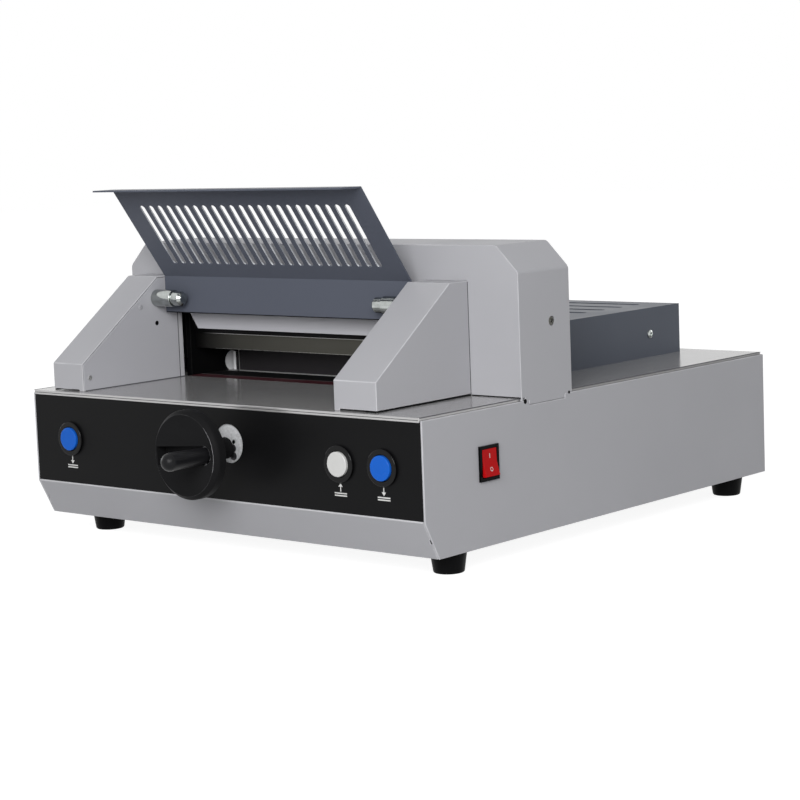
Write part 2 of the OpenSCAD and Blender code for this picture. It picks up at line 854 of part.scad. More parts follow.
// One angle under the table, mirrored for the other wall.
module table_rail() {
  block([wall_in - rail_w, skirt_back + wall_t, -table_t - rail_t], [wall_in, base_d - wall_t, -table_t]);
  block([wall_in - rail_t, skirt_back + wall_t, -table_t - rail_w],
        [wall_in, base_d - wall_t, -table_t - rail_t + eps]);
}

module table_rails() {
  color(zinc)
    place() {
      table_rail();
      mirror([1, 0, 0])
        table_rail();
    }
}

module stick_bed() {
  color(dark_steel)
    place()
      difference() {
        block([throat_l, stick_y - bed_wall, -bed_low], [throat_r, stick_back + bed_wall, -table_t]);
        block([throat_l - 1, stick_y - stick_gap, -stick_h], [throat_r + 1, stick_back + stick_gap, 0]);
      }
}

module cutting_stick() {
  color(stick_red)
    place()
      difference() {
        block([throat_l + stick_gap, stick_y, -stick_h], [throat_r - stick_gap, stick_back, 0]);
        block([throat_l - 1, cut_y - stick_nick / 2, -stick_nick_d],
              [throat_r + 1, cut_y + stick_nick / 2, 1]);
      }
}

// Frame plate: tall part inside the bridge with a low tail behind it.
frame_outline = [
  [frame_y, -frame_low],
  [frame_tail, -frame_low],
  [frame_tail, frame_tail_h],
  [frame_back, frame_tail_h],
  [frame_back, frame_top],
  [frame_y, frame_top]
];

module left_frame() {
  color(black)
    place()
      difference() {
        side_shape(throat_l - frame_t, throat_l, frame_outline);
        bar_x_axis(sight_y, sight_z, throat_l - frame_t - 1, throat_l + 1, sight_r);
        bar_x_axis(sight_y, sight_z, throat_l - frame_t - 1, throat_l - frame_t + plug_rim_t,
                   sight_r + plug_rim + plug_gap);
      }
}

module right_frame() {
  color(black)
    place()
      side_shape(throat_r, throat_r + frame_t, frame_outline);
}

module sight_plug() {
  color(white)
    place() {
      bar_x_axis(sight_y, sight_z, throat_l - frame_t, throat_l - plug_sink, sight_r - plug_gap);
      bar_x_axis(sight_y, sight_z, throat_l - frame_t, throat_l - frame_t + plug_rim_t, sight_r + plug_rim);
    }
}

module cross_beam() {
  color(dark_steel)
    place()
      difference() {
        block([throat_l, beam_y, beam_z], [throat_r, beam_back, beam_z + beam_h]);
        for (side = [-1, 1])
          bar_z_axis(clamp_mid_x + side * clamp_rod_x, rod_clamp_y, beam_z - 1,
                     beam_z + beam_h + 1, clamp_rod_r + clamp_fit);
        bar_z_axis(clamp_mid_x, rod_clamp_y, beam_z - 1, beam_z + beam_h + 1, nut_hub_r + nut_fit);
      }
}

module knife_guides() {
  color(zinc)
    place() {
      guide_low = wing_z - knife_stroke - guide_end - guide_cap;
      guide_high = wing_top + guide_end + guide_cap;
      groove_y0 = carrier_y - guide_play;
      groove_y1 = blade_y + guide_play;
      difference() {
        block([throat_l - frame_t - guide_w, groove_y0 - guide_lip, guide_low],
              [throat_l - frame_t + guide_lap, frame_y, guide_high]);
        block([throat_l - frame_t - guide_play, groove_y0, guide_low - 1],
              [throat_l, groove_y1, guide_high + 1]);
      }
      difference() {
        block([throat_r + frame_t - guide_lap, groove_y0 - guide_lip, guide_low],
              [throat_r + frame_t + guide_w, frame_y, guide_high]);
        block([throat_r, groove_y0, guide_low + guide_cap],
              [throat_r + frame_t + guide_w + 1, groove_y1, guide_high - guide_cap]);
      }
    }
}

// Front outline of the bridge with bevelled corners, pulled in by a margin.
function bridge_outline(in, low) = [
  [-half_w + in, low],
  [half_w - in, low],
  [half_w - in, bridge_h - bridge_bevel - in * tan(22.5)],
  [half_w - bridge_bevel - in * tan(22.5), bridge_h - in],
  [-half_w + bridge_bevel + in * tan(22.5), bridge_h - in],
  [-half_w + in, bridge_h - bridge_bevel - in * tan(22.5)]
];

module bridge_cover() {
  color(grey)
    place()
      difference() {
        union() {
          front_shape(bridge_y, bridge_back, bridge_outline(0, 0));
          for (side = [-1, 1])
            block([side * half_w - (side > 0 ? wall_t : 0), bridge_y, -side_drop],
                  [side * half_w + (side > 0 ? 0 : wall_t), bridge_back, eps]);
          for (side = [-1, 1])
            block([side * half_w - (side > 0 ? wall_t : 0), bridge_y + tab_inset, -side_drop - tab_drop],
                  [side * half_w + (side > 0 ? 0 : wall_t), bridge_back - tab_inset, eps]);
        }
        front_shape(bridge_y + wall_t, bridge_back - wall_t, bridge_outline(wall_t, -1));
        block([throat_l - mouth_side, bridge_y - 1, -1],
              [throat_r + mouth_side, bridge_y + wall_t + 1, mouth_h]);
        block([throat_l - frame_t - mouth_side, bridge_back - wall_t - 1, -1],
              [throat_r + frame_t + mouth_side, bridge_back + 1, mouth_rear_h]);
        for (side = [-1, 1])
          block([side * half_w - wall_t - 1, bridge_y + relief, -side_drop - 1],
                [side * half_w + wall_t + 1, bridge_y + 2 * relief, -side_drop + relief]);
      }
}

// Side outline of a cheek, pulled in by a margin on its front, slope and top.
function cheek_outline(in, low, back) = [
  [cheek_y + in, low],
  [cheek_y + in, cheek_front_h + in * tan(slope) - in / cos(slope)],
  [cheek_y + (cheek_h - in - cheek_front_h + in / cos(slope)) / tan(slope), cheek_h - in],
  [back, cheek_h - in],
  [back, low]
];

// Folded cheek shell between its outer side and the throat side.
module cheek(outer, inner) {
  low = min(outer, inner);
  high = max(outer, inner);
  skin_low = outer < inner ? cheek_t : -1;
  skin_high = outer < inner ? 1 : -cheek_t;
  slit_low = outer < inner ? -1 : cheek_t * 4;
  slit_high = outer < inner ? -cheek_t * 4 : 1;
  difference() {
    side_shape(low, high, cheek_outline(0, 0, bridge_y));
    side_shape(low + skin_low, high + skin_high, cheek_outline(cheek_t, -1, bridge_y + 1));
    block([low + slit_low, cheek_y - 1, -1], [high + slit_high, bridge_y + 1, cheek_slit]);
  }
}

module left_cheek() {
  color(grey)
    place()
      cheek(throat_l - left_cheek_w, throat_l);
}

module right_cheek() {
  color(grey)
    place()
      cheek(throat_r + right_cheek_w, throat_r);
}

// Inner panel of a cheek with the hinge hole.
module cheek_panel(x0, x1) {
  difference() {
    side_shape(x0, x1, cheek_outline(cheek_t + cheek_gap, 0, bridge_y));
    bar_x_axis(hinge_y, hinge_z, x0 - 1, x1 + 1, hinge_r + cheek_gap);
  }
}

module left_cheek_panel() {
  color(grey)
    place()
      cheek_panel(throat_l - cheek_t, throat_l);
}

module right_cheek_panel() {
  color(grey)
    place()
      cheek_panel(throat_r, throat_r + cheek_t);
}

module throat_liners() {
  color(chrome)
    place() {
      block([throat_l - cheek_t, bridge_y, 0], [throat_l, bridge_y + liner_d, liner_h]);
      block([throat_r, bridge_y, 0], [throat_r + cheek_t, bridge_y + liner_d, liner_h]);
    }
}

// One hinge bolt: nut inside the cheek, shank through the sleeve, round head. Side is -1 or 1.
module hinge_bolt(x, side) {
  translate([x, hinge_y, hinge_z])
    rotate([0, -90 * side, 0]) {
      translate([0, 0, -cheek_t - bolt_nut_l])
        cylinder(r = bolt_head_r, h = bolt_nut_l);
      translate([0, 0, -cheek_t - eps])
        cylinder(r = hinge_r, h = cheek_t + sleeve_len + 2 * sleeve_gap + 2 * eps);
      translate([0, 0, sleeve_len + 2 * sleeve_gap])
        cylinder(r = bolt_head_r, h = bolt_head_l - bolt_dome);
      translate([0, 0, sleeve_len + 2 * sleeve_gap + bolt_head_l - bolt_dome - eps])
        cylinder(r1 = bolt_head_r, r2 = bolt_head_r - bolt_taper, h = bolt_dome + eps);
    }
}

module hinge_bolts() {
  color(chrome)
    place() {
      hinge_bolt(throat_l, -1);
      hinge_bolt(throat_r, 1);
    }
}

// Section of the raised guard: flange, leaning plate and level lip with even thickness.
guard_outline = [
  [fold_y, fold_z - flange_h],
  [fold_y, fold_z],
  [lip_y, lip_z],
  [lip_y - lip_len, lip_z],
  [lip_y - lip_len, lip_z + guard_t],
  [lip_y + guard_t * cos(plate_lean) / (1 + sin(plate_lean)), lip_z + guard_t],
  [fold_y + guard_t, fold_z + guard_t * sin(plate_lean) / (1 + cos(plate_lean))],
  [fold_y + guard_t, fold_z - flange_h]
];

module guard() {
  color(dark_grey)
    place()
      difference() {
        side_shape(guard_l, guard_r, guard_outline);
        translate([throat_mid, fold_y, fold_z])
          rotate([plate_lean, 0, 0])
            for (i = [0 : slot_count - 1])
              guard_slot((i - (slot_count - 1) / 2) * slot_pitch);
      }
}

// One long guard slot with round ends, cut through the plate.
module guard_slot(x) {
  block([x - slot_w / 2, -2, slot_from + slot_w / 2],
        [x + slot_w / 2, guard_t + 2, slot_to - slot_w / 2]);
  bar_y_axis(x, slot_from + slot_w / 2, -2, guard_t + 2, slot_w / 2, $fn = 24);
  bar_y_axis(x, slot_to - slot_w / 2, -2, guard_t + 2, slot_w / 2, $fn = 24);
}

// One hinge sleeve with the pad that joins it to the flange.
module guard_sleeve(x0) {
  difference() {
    union() {
      bar_x_axis(hinge_y, hinge_z, x0, x0 + sleeve_len, sleeve_r);
      block([x0, hinge_y, hinge_z - pad_h], [x0 + sleeve_len, fold_y, hinge_z + pad_h]);
    }
    bar_x_axis(hinge_y, hinge_z, x0 - 1, x0 + sleeve_len + 1, hinge_r + hinge_fit);
  }
}

module guard_sleeves() {
  color(chrome)
    place() {
      guard_sleeve(throat_l + sleeve_gap);
      guard_sleeve(throat_r - sleeve_gap - sleeve_len);
    }
}

module knife_carrier() {
  wing_l = throat_l - frame_t;
  wing_r = throat_r + frame_t;
  lug_r = roller_out_x + slot_half + lug_rim;
  color(grey)
    place()
      difference() {
        union() {
          front_shape(carrier_y, blade_y, [
            [throat_l + carrier_inset, carrier_z],
            [throat_r - carrier_inset, carrier_z],
            [throat_r - carrier_inset + carrier_bevel_x, wing_z],
            [wing_r, wing_z],
            [wing_r, wing_top],
            [wing_l, wing_top],
            [wing_l, wing_z],
            [throat_l + carrier_inset - carrier_bevel_x, wing_z]
          ]);
          block([wing_r - 1, carrier_y, lug_z - slot_half - lug_rim],
                [lug_r, blade_y, lug_z + slot_half + lug_rim]);
        }
        block([roller_in_x, carrier_y - 1, lug_z - slot_half],
              [roller_out_x, blade_y + 1, lug_z + slot_half]);
        bar_y_axis(roller_in_x, lug_z, carrier_y - 1, blade_y + 1, slot_half);
        bar_y_axis(roller_out_x, lug_z, carrier_y - 1, blade_y + 1, slot_half);
      }
}

module knife_blade() {
  color(steel)
    place()
      side_shape(throat_l + blade_gap, throat_r - blade_gap, [
        [cut_y, blade_z],
        [cut_y, blade_z + blade_h],
        [blade_y, blade_z + blade_h],
        [blade_y, blade_z + blade_bevel],
        [cut_y - blade_land, blade_z]
      ]);
}

// Crank arm drawn with its tip raised by the swing angle.
module crank_arm() {
  color(dark_steel)
    place()
      translate([crank_x, crank_y, crank_z])
        rotate([0, swing, 0])
          union() {
            bar_y_axis(0, 0, 0, crank_t, crank_hub_r);
            bar_y_axis(-crank_r, 0, 0, crank_t, crank_tip_r);
            block([-crank_r, 0, -crank_tip_r], [0, crank_t, crank_tip_r]);
            bar_y_axis(0, 0, 0, bracket_y - crank_y + bracket_t - eps, crank_shaft_r);
          }
}

module crank_roller() {
  color(chrome)
    place()
      bar_y_axis(roller_out_x, lug_z, carrier_y - roller_nose, crank_y, roller_r);
}

module drive_bracket() {
  color(zinc)
    place()
      difference() {
        block([throat_r + frame_t, bracket_y, crank_z - bracket_h / 2],
              [wall_in - bracket_side, bracket_y + bracket_t, crank_z + bracket_h / 2]);
        bar_y_axis(crank_x, crank_z, bracket_y - 1, bracket_y + bracket_t + 1, crank_shaft_r + crank_fit);
      }
}

module gearmotor() {
  color(black)
    place() {
      block([crank_x - gearbox_w / 2, gearbox_y, crank_z - gearbox_h / 2],
            [crank_x + gearbox_w / 2, gearbox_y + gearbox_d, crank_z + gearbox_h / 2]);
      bar_z_axis(crank_x, gearbox_y + gearbox_d / 2, crank_z - gearbox_h / 2 - motor_len,
                 crank_z - gearbox_h / 2 + eps, motor_r);
    }
}

module clamp_bar() {
  color(dark_steel)
    place() {
      block([throat_l + clamp_side, clamp_y, clamp_z],
            [throat_r - clamp_side, clamp_back, clamp_z + clamp_foot_t]);
      block([throat_l + clamp_side, clamp_y, clamp_z + clamp_foot_t - eps],
            [throat_r - clamp_side, clamp_y + clamp_web_t, clamp_z + clamp_foot_t + clamp_web_h]);
    }
}

module clamp_rods() {
  foot_top = clamp_z + clamp_foot_t;
  color(chrome)
    place() {
      for (side = [-1, 1])
        bar_z_axis(clamp_mid_x + side * clamp_rod_x, rod_clamp_y, foot_top,
                   foot_top + clamp_rod_len, clamp_rod_r);
      bar_z_axis(clamp_mid_x, rod_clamp_y, foot_top, foot_top + clamp_rod_len, spindle_r);
    }
}

module clamp_nut() {
  color([0.72, 0.58, 0.3])
    place()
      difference() {
        union() {
          bar_z_axis(clamp_mid_x, rod_clamp_y, beam_z + nut_raise, beam_z + beam_h + eps, nut_hub_r);
          bar_z_axis(clamp_mid_x, rod_clamp_y, beam_z + beam_h,
                     beam_z + beam_h + nut_wheel_t, nut_wheel_r);
        }
        bar_z_axis(clamp_mid_x, rod_clamp_y, beam_z,
                   beam_z + beam_h + nut_wheel_t + 1, spindle_r + spindle_gap);
      }
}

module clamp_drive() {
  box_l = clamp_mid_x - nut_wheel_r - nut_space - clamp_box_wall;
  motor_x = box_l + clamp_box_l - clamp_motor_r - clamp_box_wall;
  top = beam_z + beam_h + clamp_box_h;
  color(black)
    place()
      difference() {
        union() {
          block([box_l, rod_clamp_y - clamp_box_front, beam_z + beam_h],
                [box_l + clamp_box_l, beam_back, top]);
          bar_z_axis(motor_x, rod_clamp_y, top - eps, top + clamp_motor_h, clamp_motor_r);
        }
        bar_z_axis(clamp_mid_x, rod_clamp_y, beam_z + beam_h - 1, top + 1, nut_wheel_r + nut_space);
      }
}

// Puts a piece of the hand wheel on the knob axis, turned as it stands at rest.
module on_knob() {
  place()
    translate([knob_x, 0, -knob_drop])
      rotate([0, -knob_turn, 0])
        children();
}

// Disc and hub of the knob, turned about the knob axis.
module knob_body() {
  rotate([90, 0, 0])
    rotate_extrude($fn = 96)
      polygon([
        [0, hub_end],
        [hub_r, hub_end],
        [hub_r, knob_proud - knob_t],
        [knob_r - knob_back_edge, knob_proud - knob_t],
        [knob_r, knob_proud - knob_t + knob_back_edge],
        [knob_r, knob_proud - knob_edge],
        [knob_r - knob_edge, knob_proud],
        [0, knob_proud]
      ]);
}

module knob() {
  color(black)
    on_knob()
      difference() {
        knob_body();
        block([-groove_end, -knob_proud - 1, -groove_half], [pivot_x, groove_floor, groove_half]);
        bar_y_axis(pivot_x, 0, -knob_proud - 1, groove_floor, groove_half);
        bar_z_axis(pivot_x, pivot_y, -pin_half, pin_half, pivot_r);
      }
}

module handle_pin() {
  color(chrome)
    on_knob()
      bar_z_axis(pivot_x, pivot_y, -pin_half, pin_half, pivot_r);
}

// Points of an arc in a turned profile, from one angle to another.
function arc(r, height, from, to, steps = 6) =
  [for (i = [0 : steps])
    let (a = from + (to - from) * i / steps)
      [r * cos(a), height + r * sin(a)]];

// Tapered handle with round ends, turned about its own axis and bored for the pin.
module wheel_handle() {
  far = handle_len + pivot_depth - handle_r;
  taper = asin((handle_r - handle_root_r) / far);
  color(black)
    on_knob()
      translate([pivot_x, pivot_y, 0])
        difference() {
          rotate([90, 0, 0])
            rotate_extrude($fn = 64)
              polygon(concat(
                arc(handle_root_r, 0, -90, -taper),
                arc(handle_r, far, -taper, 90)
              ));
          bar_z_axis(0, 0, -handle_r, handle_r, pivot_r + pivot_fit);
        }
}

module lead_screw() {
  color(chrome)
    place() {
      bar_y_axis(knob_x, -knob_drop, -hub_end, bar_back + bar_d + screw_tail, screw_r);
      bar_y_axis(knob_x, -knob_drop, wall_t + bearing_t + collar_gap,
                 wall_t + bearing_t + collar_gap + collar_len, collar_r);
    }
}

module bearing_plate() {
  color(zinc)
    place()
      difference() {
        block([knob_x - bearing_w / 2, wall_t, -knob_drop - bearing_w / 2],
              [knob_x + bearing_w / 2, wall_t + bearing_t, -knob_drop + bearing_w / 2]);
        bar_y_axis(knob_x, -knob_drop, wall_t - 1, wall_t + bearing_t + 1, screw_r + screw_fit);
        bar_y_axis(knob_x + spare_x, -knob_drop + spare_up, wall_t - 1, wall_t + bearing_t + 1, spare_r);
      }
}

// Bar under the table that carries the guide rods and a bearing for the lead screw.
module gauge_bar(y) {
  difference() {
    block([knob_x - rod_x - rod_margin, y, -knob_drop - bar_under],
          [knob_x + rod_x + rod_margin, y + bar_d, -table_t]);
    bar_y_axis(knob_x, -knob_drop, y - 1, y + bar_d + 1, screw_r + screw_fit);
  }
}

module gauge_bars() {
  color(zinc)
    place() {
      gauge_bar(bar_y);
      gauge_bar(bar_back);
    }
}

module guide_rods() {
  color(chrome)
    place()
      for (side = [-1, 1])
        bar_y_axis(knob_x + side * rod_x, -knob_drop, bar_y + bar_d, bar_back, rod_r);
}

module gauge_carriage() {
  color(zinc)
    place()
      difference() {
        union() {
          block([knob_x - rod_x - rod_margin, carriage_y, -knob_drop - carriage_h / 2],
                [knob_x + rod_x + rod_margin, carriage_y + carriage_len, carriage_top]);
          block([knob_x - neck_w / 2, neck_y, carriage_top - eps],
                [knob_x + neck_w / 2, neck_y + neck_d, neck_h]);
        }
        bar_y_axis(knob_x, -knob_drop, carriage_y - 1,
                   carriage_y + carriage_len + 1, screw_r + screw_gap);
        for (side = [-1, 1])
          bar_y_axis(knob_x + side * rod_x, -knob_drop, carriage_y - 1,
                     carriage_y + carriage_len + 1, rod_r + rod_fit);
      }
}

module back_gauge() {
  color(black)
    place()
      block([gauge_l, gauge_y, gauge_lift], [gauge_l + gauge_w, gauge_y + gauge_t, gauge_lift + gauge_h]);
}

module rear_cover() {
  color(dark_grey)
    place()
      difference() {
        block([cover_l, bridge_back, 0], [cover_r, cover_back, cover_h]);
        block([cover_l + cover_t, bridge_back - 1, -1],
              [cover_r - cover_t, cover_back - cover_t, cover_h - cover_t]);
        for (i = [0 : cover_slots - 1])
          cover_slot((bridge_back + cover_back) / 2 + (i - (cover_slots - 1) / 2) * cover_slot_p);
      }
}

// One slot with round ends in the top of the rear cover.
module cover_slot(y) {
  r = cover_slot_w / 2;
  block([throat_mid - cover_slot_l / 2 + r, y - r, cover_h - cover_t - 1],
        [throat_mid + cover_slot_l / 2 - r, y + r, cover_h + 1]);
  bar_z_axis(throat_mid - cover_slot_l / 2 + r, y, cover_h - cover_t - 1, cover_h + 1, r);
  bar_z_axis(throat_mid + cover_slot_l / 2 - r, y, cover_h - cover_t - 1, cover_h + 1, r);
}

// Bezel ring and closed tube of one push button.
module button_bezel(x) {
  difference() {
    union() {
      bar_y_axis(x, -button_drop, -bezel_proud, 0, bezel_r);
      bar_y_axis(x, -button_drop, -eps, wall_t + tube_len, tube_r);
    }
    bar_y_axis(x, -button_drop, -bezel_proud - 1, wall_t + tube_len - tube_floor, cap_r + cap_gap);
    bar_y_axis(x, -button_drop, wall_t, wall_t + tube_len + 1, stem_r + stem_fit);
  }
}

module button_bezels() {
  color(black)
    place()
      for (x = button_xs)
        button_bezel(x);
}

// Cap of one push button with its guide stem.
module button_cap(x) {
  bar_y_axis(x, -button_drop, -bezel_proud - cap_proud, -bezel_proud + cap_len, cap_r);
  bar_y_axis(x, -button_drop, -bezel_proud + cap_len - eps, wall_t + tube_len + stem_len, stem_r);
}

module button_left() {
  color(blue)
    place()
      button_cap(button_left_x);
}

module button_white() {
  color(white)
    place()
      button_cap(button_white_x);
}

module button_right() {
  color(blue)
    place()
      button_cap(button_right_x);
}

module rocker_bezel() {
  y0 = rocker_y - rocker_w / 2;
  y1 = rocker_y + rocker_w / 2;
  z0 = -rocker_drop - rocker_h / 2;
  z1 = -rocker_drop + rocker_h / 2;
  in = rocker_frame / 2 + rocker_slack;
  color(black)
    place()
      difference() {
        union() {
          block([half_w, y0, z0], [half_w + rocker_rim, y1, z1]);
          block([half_w - wall_t - rocker_depth, y0 + in, z0 + in], [half_w + eps, y1 - in, z1 - in]);
        }
        block([half_w - wall_t - rocker_depth + rocker_floor, y0 + rocker_frame, z0 + rocker_frame],
              [half_w + rocker_rim + 1, y1 - rocker_frame, z1 - rocker_frame]);
        bar_y_axis(half_w, -rocker_drop, y0 + in, y1 - in,
                   rocker_pin + rocker_fit, $fn = 32);
      }
}

module rocker() {
  half_y = rocker_w / 2 - rocker_frame - rocker_gap;
  pivot_half = rocker_w / 2 - rocker_frame / 2 - rocker_slack - rocker_short;
  color(red)
    place()
      translate([half_w, rocker_y, -rocker_drop])
        rotate([0, -rocker_tilt, 0])
          union() {
            front_shape(-half_y, half_y, [
              [-rocker_in, -rocker_half * 0.55],
              [0, -rocker_half],
              [rocker_end, -rocker_half],
              [rocker_dip, 0],
              [rocker_end, rocker_half],
              [0, rocker_half],
              [-rocker_in, rocker_half * 0.55]
            ]);
            bar_y_axis(0, 0, -pivot_half, pivot_half, rocker_pin, $fn = 32);
          }
}

module power_inlet() {
  back = base_d;
  color(black)
    place() {
      difference() {
        union() {
          block([inlet_x - inlet_w / 2, back - inlet_d, -inlet_drop - inlet_h / 2],
                [inlet_x + inlet_w / 2, back, -inlet_drop + inlet_h / 2]);
          block([inlet_x - inlet_w / 2 - inlet_rim, back - wall_t - inlet_rim_t,
                 -inlet_drop - inlet_h / 2 - inlet_rim],
                [inlet_x + inlet_w / 2 + inlet_rim, back - wall_t, -inlet_drop + inlet_h / 2 + inlet_rim]);
        }
        block([inlet_x - socket_w / 2, back - socket_d, -inlet_drop - socket_h / 2],
              [inlet_x + socket_w / 2, back + 1, -inlet_drop + socket_h / 2]);
      }
      for (i = [-1, 0, 1]) {
        x = inlet_x + i * contact_pitch;
        z = -inlet_drop + (i == 0 ? contact_rise : -contact_rise);
        block([x - contact_t / 2, back - socket_d - eps, z - contact_h / 2],
              [x + contact_t / 2, back - socket_d + contact_l, z + contact_h / 2]);
      }
    }
}

module control_unit() {
  right = wall_in - rail_w - control_gap;
  floor_z = -base_drop + wall_t;
  color(green)
    place() {
      block([right - control_w, control_y, floor_z],
            [right, control_y + control_d, floor_z + control_h * 0.3]);
      block([right - control_w * 0.8, control_y + control_d * 0.15, floor_z + control_h * 0.3 - eps],
            [right - control_w * 0.45, control_y + control_d * 0.8, floor_z + control_h]);
    }
}

// Tapered foot under the bottom plate.
module foot(x, y) {
  translate([x, y, -table_z])
    cylinder(r1 = foot_r_low, r2 = foot_r_top, h = foot_h);
}

module feet() {
  color(rubber)
    place()
      for (x = [-foot_left, foot_right])
        for (y = [foot_front, base_d - foot_back])
          foot(x, y);
}

left_wall();
right_wall();
rear_wall();
skirt();
bottom_plate();
front_panel();
work_table();
rear_table();
table_rails();
stick_bed();
cutting_stick();
left_frame();
right_frame();
sight_plug();
cross_beam();
knife_guides();
bridge_cover();
left_cheek();
left_cheek_panel();
right_cheek();
right_cheek_panel();
throat_liners();
hinge_bolts();
guard();
guard_sleeves();
knife_carrier();
knife_blade();
crank_arm();
crank_roller();
drive_bracket();
gearmotor();
clamp_bar();
clamp_rods();
clamp_nut();
clamp_drive();
knob();
handle_pin();
wheel_handle();
lead_screw();
bearing_plate();
gauge_bars();
guide_rods();
gauge_carriage();
back_gauge();
rear_cover();
button_bezels();
button_left();
button_white();
button_right();
rocker_bezel();
rocker();
power_inlet();
control_unit();
feet();
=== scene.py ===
import json
import math

import bmesh
import bpy
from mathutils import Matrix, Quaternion, Vector


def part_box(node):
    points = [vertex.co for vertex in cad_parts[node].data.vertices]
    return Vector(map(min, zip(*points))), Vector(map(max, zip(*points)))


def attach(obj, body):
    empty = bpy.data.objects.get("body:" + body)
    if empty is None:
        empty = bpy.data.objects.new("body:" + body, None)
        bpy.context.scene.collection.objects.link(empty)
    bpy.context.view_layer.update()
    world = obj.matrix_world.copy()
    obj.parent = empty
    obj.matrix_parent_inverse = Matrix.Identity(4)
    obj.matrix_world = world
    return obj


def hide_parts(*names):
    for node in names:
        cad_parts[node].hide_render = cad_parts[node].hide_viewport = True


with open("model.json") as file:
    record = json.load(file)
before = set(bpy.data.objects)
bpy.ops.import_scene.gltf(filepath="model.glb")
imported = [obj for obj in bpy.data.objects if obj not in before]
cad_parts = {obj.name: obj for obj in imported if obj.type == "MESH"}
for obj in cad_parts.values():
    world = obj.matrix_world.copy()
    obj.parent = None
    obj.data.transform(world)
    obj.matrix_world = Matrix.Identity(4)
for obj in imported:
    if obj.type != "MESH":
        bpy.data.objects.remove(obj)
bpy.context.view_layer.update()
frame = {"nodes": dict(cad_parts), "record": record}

mm = 0.001
bodyRows = frame["record"]["behaviour"]["bodies"].items()
bodyOfNode = {node: body for body, members in bodyRows for node in members}
slotOfNode = {row["node"]: row["material_slot"] for row in frame["record"]["subparts"]}


# small tools for names, colours and node trees
def camel(words):
    first, *rest = words.split("_")
    return first + "".join(word.capitalize() for word in rest)


def ink(red, green, blue):
    # a screen colour, 0 to 255, turned linear by the sRGB curve
    def linear(value):
        share = value / 255
        return share / 12.92 if share <= 0.04045 else ((share + 0.055) / 1.055) ** 2.4
    return (linear(red), linear(green), linear(blue), 1.0)


def put(tree, kind, sockets=None, **settings):
    node = tree.nodes.new(kind)
    for name, value in settings.items():
        setattr(node, name, value)
    for name, value in (sockets or {}).items():
        if isinstance(value, bpy.types.NodeSocket):
            tree.links.new(value, node.inputs[name])
        else:
            node.inputs[name].default_value = value
    return node


def maths(tree, operation, first, second):
    return put(tree, "ShaderNodeMath", {0: first, 1: second}, operation=operation).outputs[0]


def times(tree, first, second):
    return maths(tree, "MULTIPLY", first, second)


def plus(tree, first, second):
    return maths(tree, "ADD", first, second)


def spread(tree, value, low, high, toLow, toHigh, **settings):
    sockets = {"Value": value, "From Min": low, "From Max": high, "To Min": toLow, "To Max": toHigh}
    return put(tree, "ShaderNodeMapRange", sockets, **settings).outputs["Result"]


def blendColour(tree, share, first, second):
    # a mix node keeps its colours in the sockets 6 and 7 and in output 2
    return put(tree, "ShaderNodeMix", {0: share, 6: first, 7: second}, data_type="RGBA").outputs[2]


def objectPlace(tree):
    return put(tree, "ShaderNodeTexCoord").outputs["Object"]


def placeAlong(tree, axis):
    return put(tree, "ShaderNodeSeparateXYZ", {0: objectPlace(tree)}).outputs[axis]


def noise(tree, scale, detail, vector=None):
    vector = objectPlace(tree) if vector is None else vector
    sockets = {"Vector": vector, "Scale": scale, "Detail": detail}
    return put(tree, "ShaderNodeTexNoise", sockets).outputs["Fac"]


white = (1.0, 1.0, 1.0, 1.0)
socketKinds = {1: "NodeSocketFloat", 3: "NodeSocketVector", 4: "NodeSocketColor"}


def newGroup(name, inputs, outputs):
    # inputs are labels with their defaults, and an output called Color is a colour
    tree = bpy.data.node_groups.new(name, "ShaderNodeTree")
    for label, value in inputs.items():
        kind = socketKinds[len(value) if isinstance(value, tuple) else 1]
        tree.interface.new_socket(label, in_out="INPUT", socket_type=kind).default_value = value
    for label in outputs:
        kind = socketKinds[4 if label == "Color" else 1]
        tree.interface.new_socket(label, in_out="OUTPUT", socket_type=kind)
    return tree, tree.nodes.new("NodeGroupInput").outputs, tree.nodes.new("NodeGroupOutput").inputs


# effects shared by several finishes
usual = (0.3, 0.7)  # nearly all values of a noise lie between these


def mottleGroup():
    # slow drift of a colour over a large sheet
    tree, given, out = newGroup("mottle", {"Color": white, "Scale": 8.0, "Amount": 0.04}, ["Color"])
    drift = noise(tree, given["Scale"], detail=3.0)
    low = maths(tree, "SUBTRACT", 1.0, given["Amount"])
    high = plus(tree, 1.0, given["Amount"])
    value = spread(tree, drift, *usual, low, high)
    shade = put(tree, "ShaderNodeHueSaturation", {"Value": value, "Color": given["Color"]})
    tree.links.new(shade.outputs["Color"], out["Color"])
    return tree


def peelGroup():
    # the fine skin of sprayed and baked paint, or of moulded plastic
    skin = {"fine": 0.65, "slow": 0.35, "slower": 7.0}
    tree, given, out = newGroup("peel", {"Scale": 900.0}, ["Height"])
    fine = noise(tree, given["Scale"], detail=2.0)
    slow = noise(tree, maths(tree, "DIVIDE", given["Scale"], skin["slower"]), detail=1.0)
    height = plus(tree, times(tree, fine, skin["fine"]), times(tree, slow, skin["slow"]))
    tree.links.new(height, out["Height"])
    return tree


def edgeWearAndHighlightGroup():
    # rubbed folds and edges and painted edge highlights, read from the rim attribute of the rounded edges
    patches = {"range": (0.35, 0.65), "least": 0.3}
    inputs = {"Color": white, "Bare": white, "Amount": 0.3, "Scale": 60.0}
    tree, given, out = newGroup("edgeWearAndHighlight", inputs, ["Color"])
    rim = put(tree, "ShaderNodeAttribute", attribute_name="rim").outputs["Fac"]
    uneven = spread(tree, noise(tree, given["Scale"], detail=4.0), *patches["range"], patches["least"], 1.0)
    mask = times(tree, times(tree, rim, uneven), given["Amount"])
    tree.links.new(blendColour(tree, mask, given["Color"], given["Bare"]), out["Color"])
    return tree


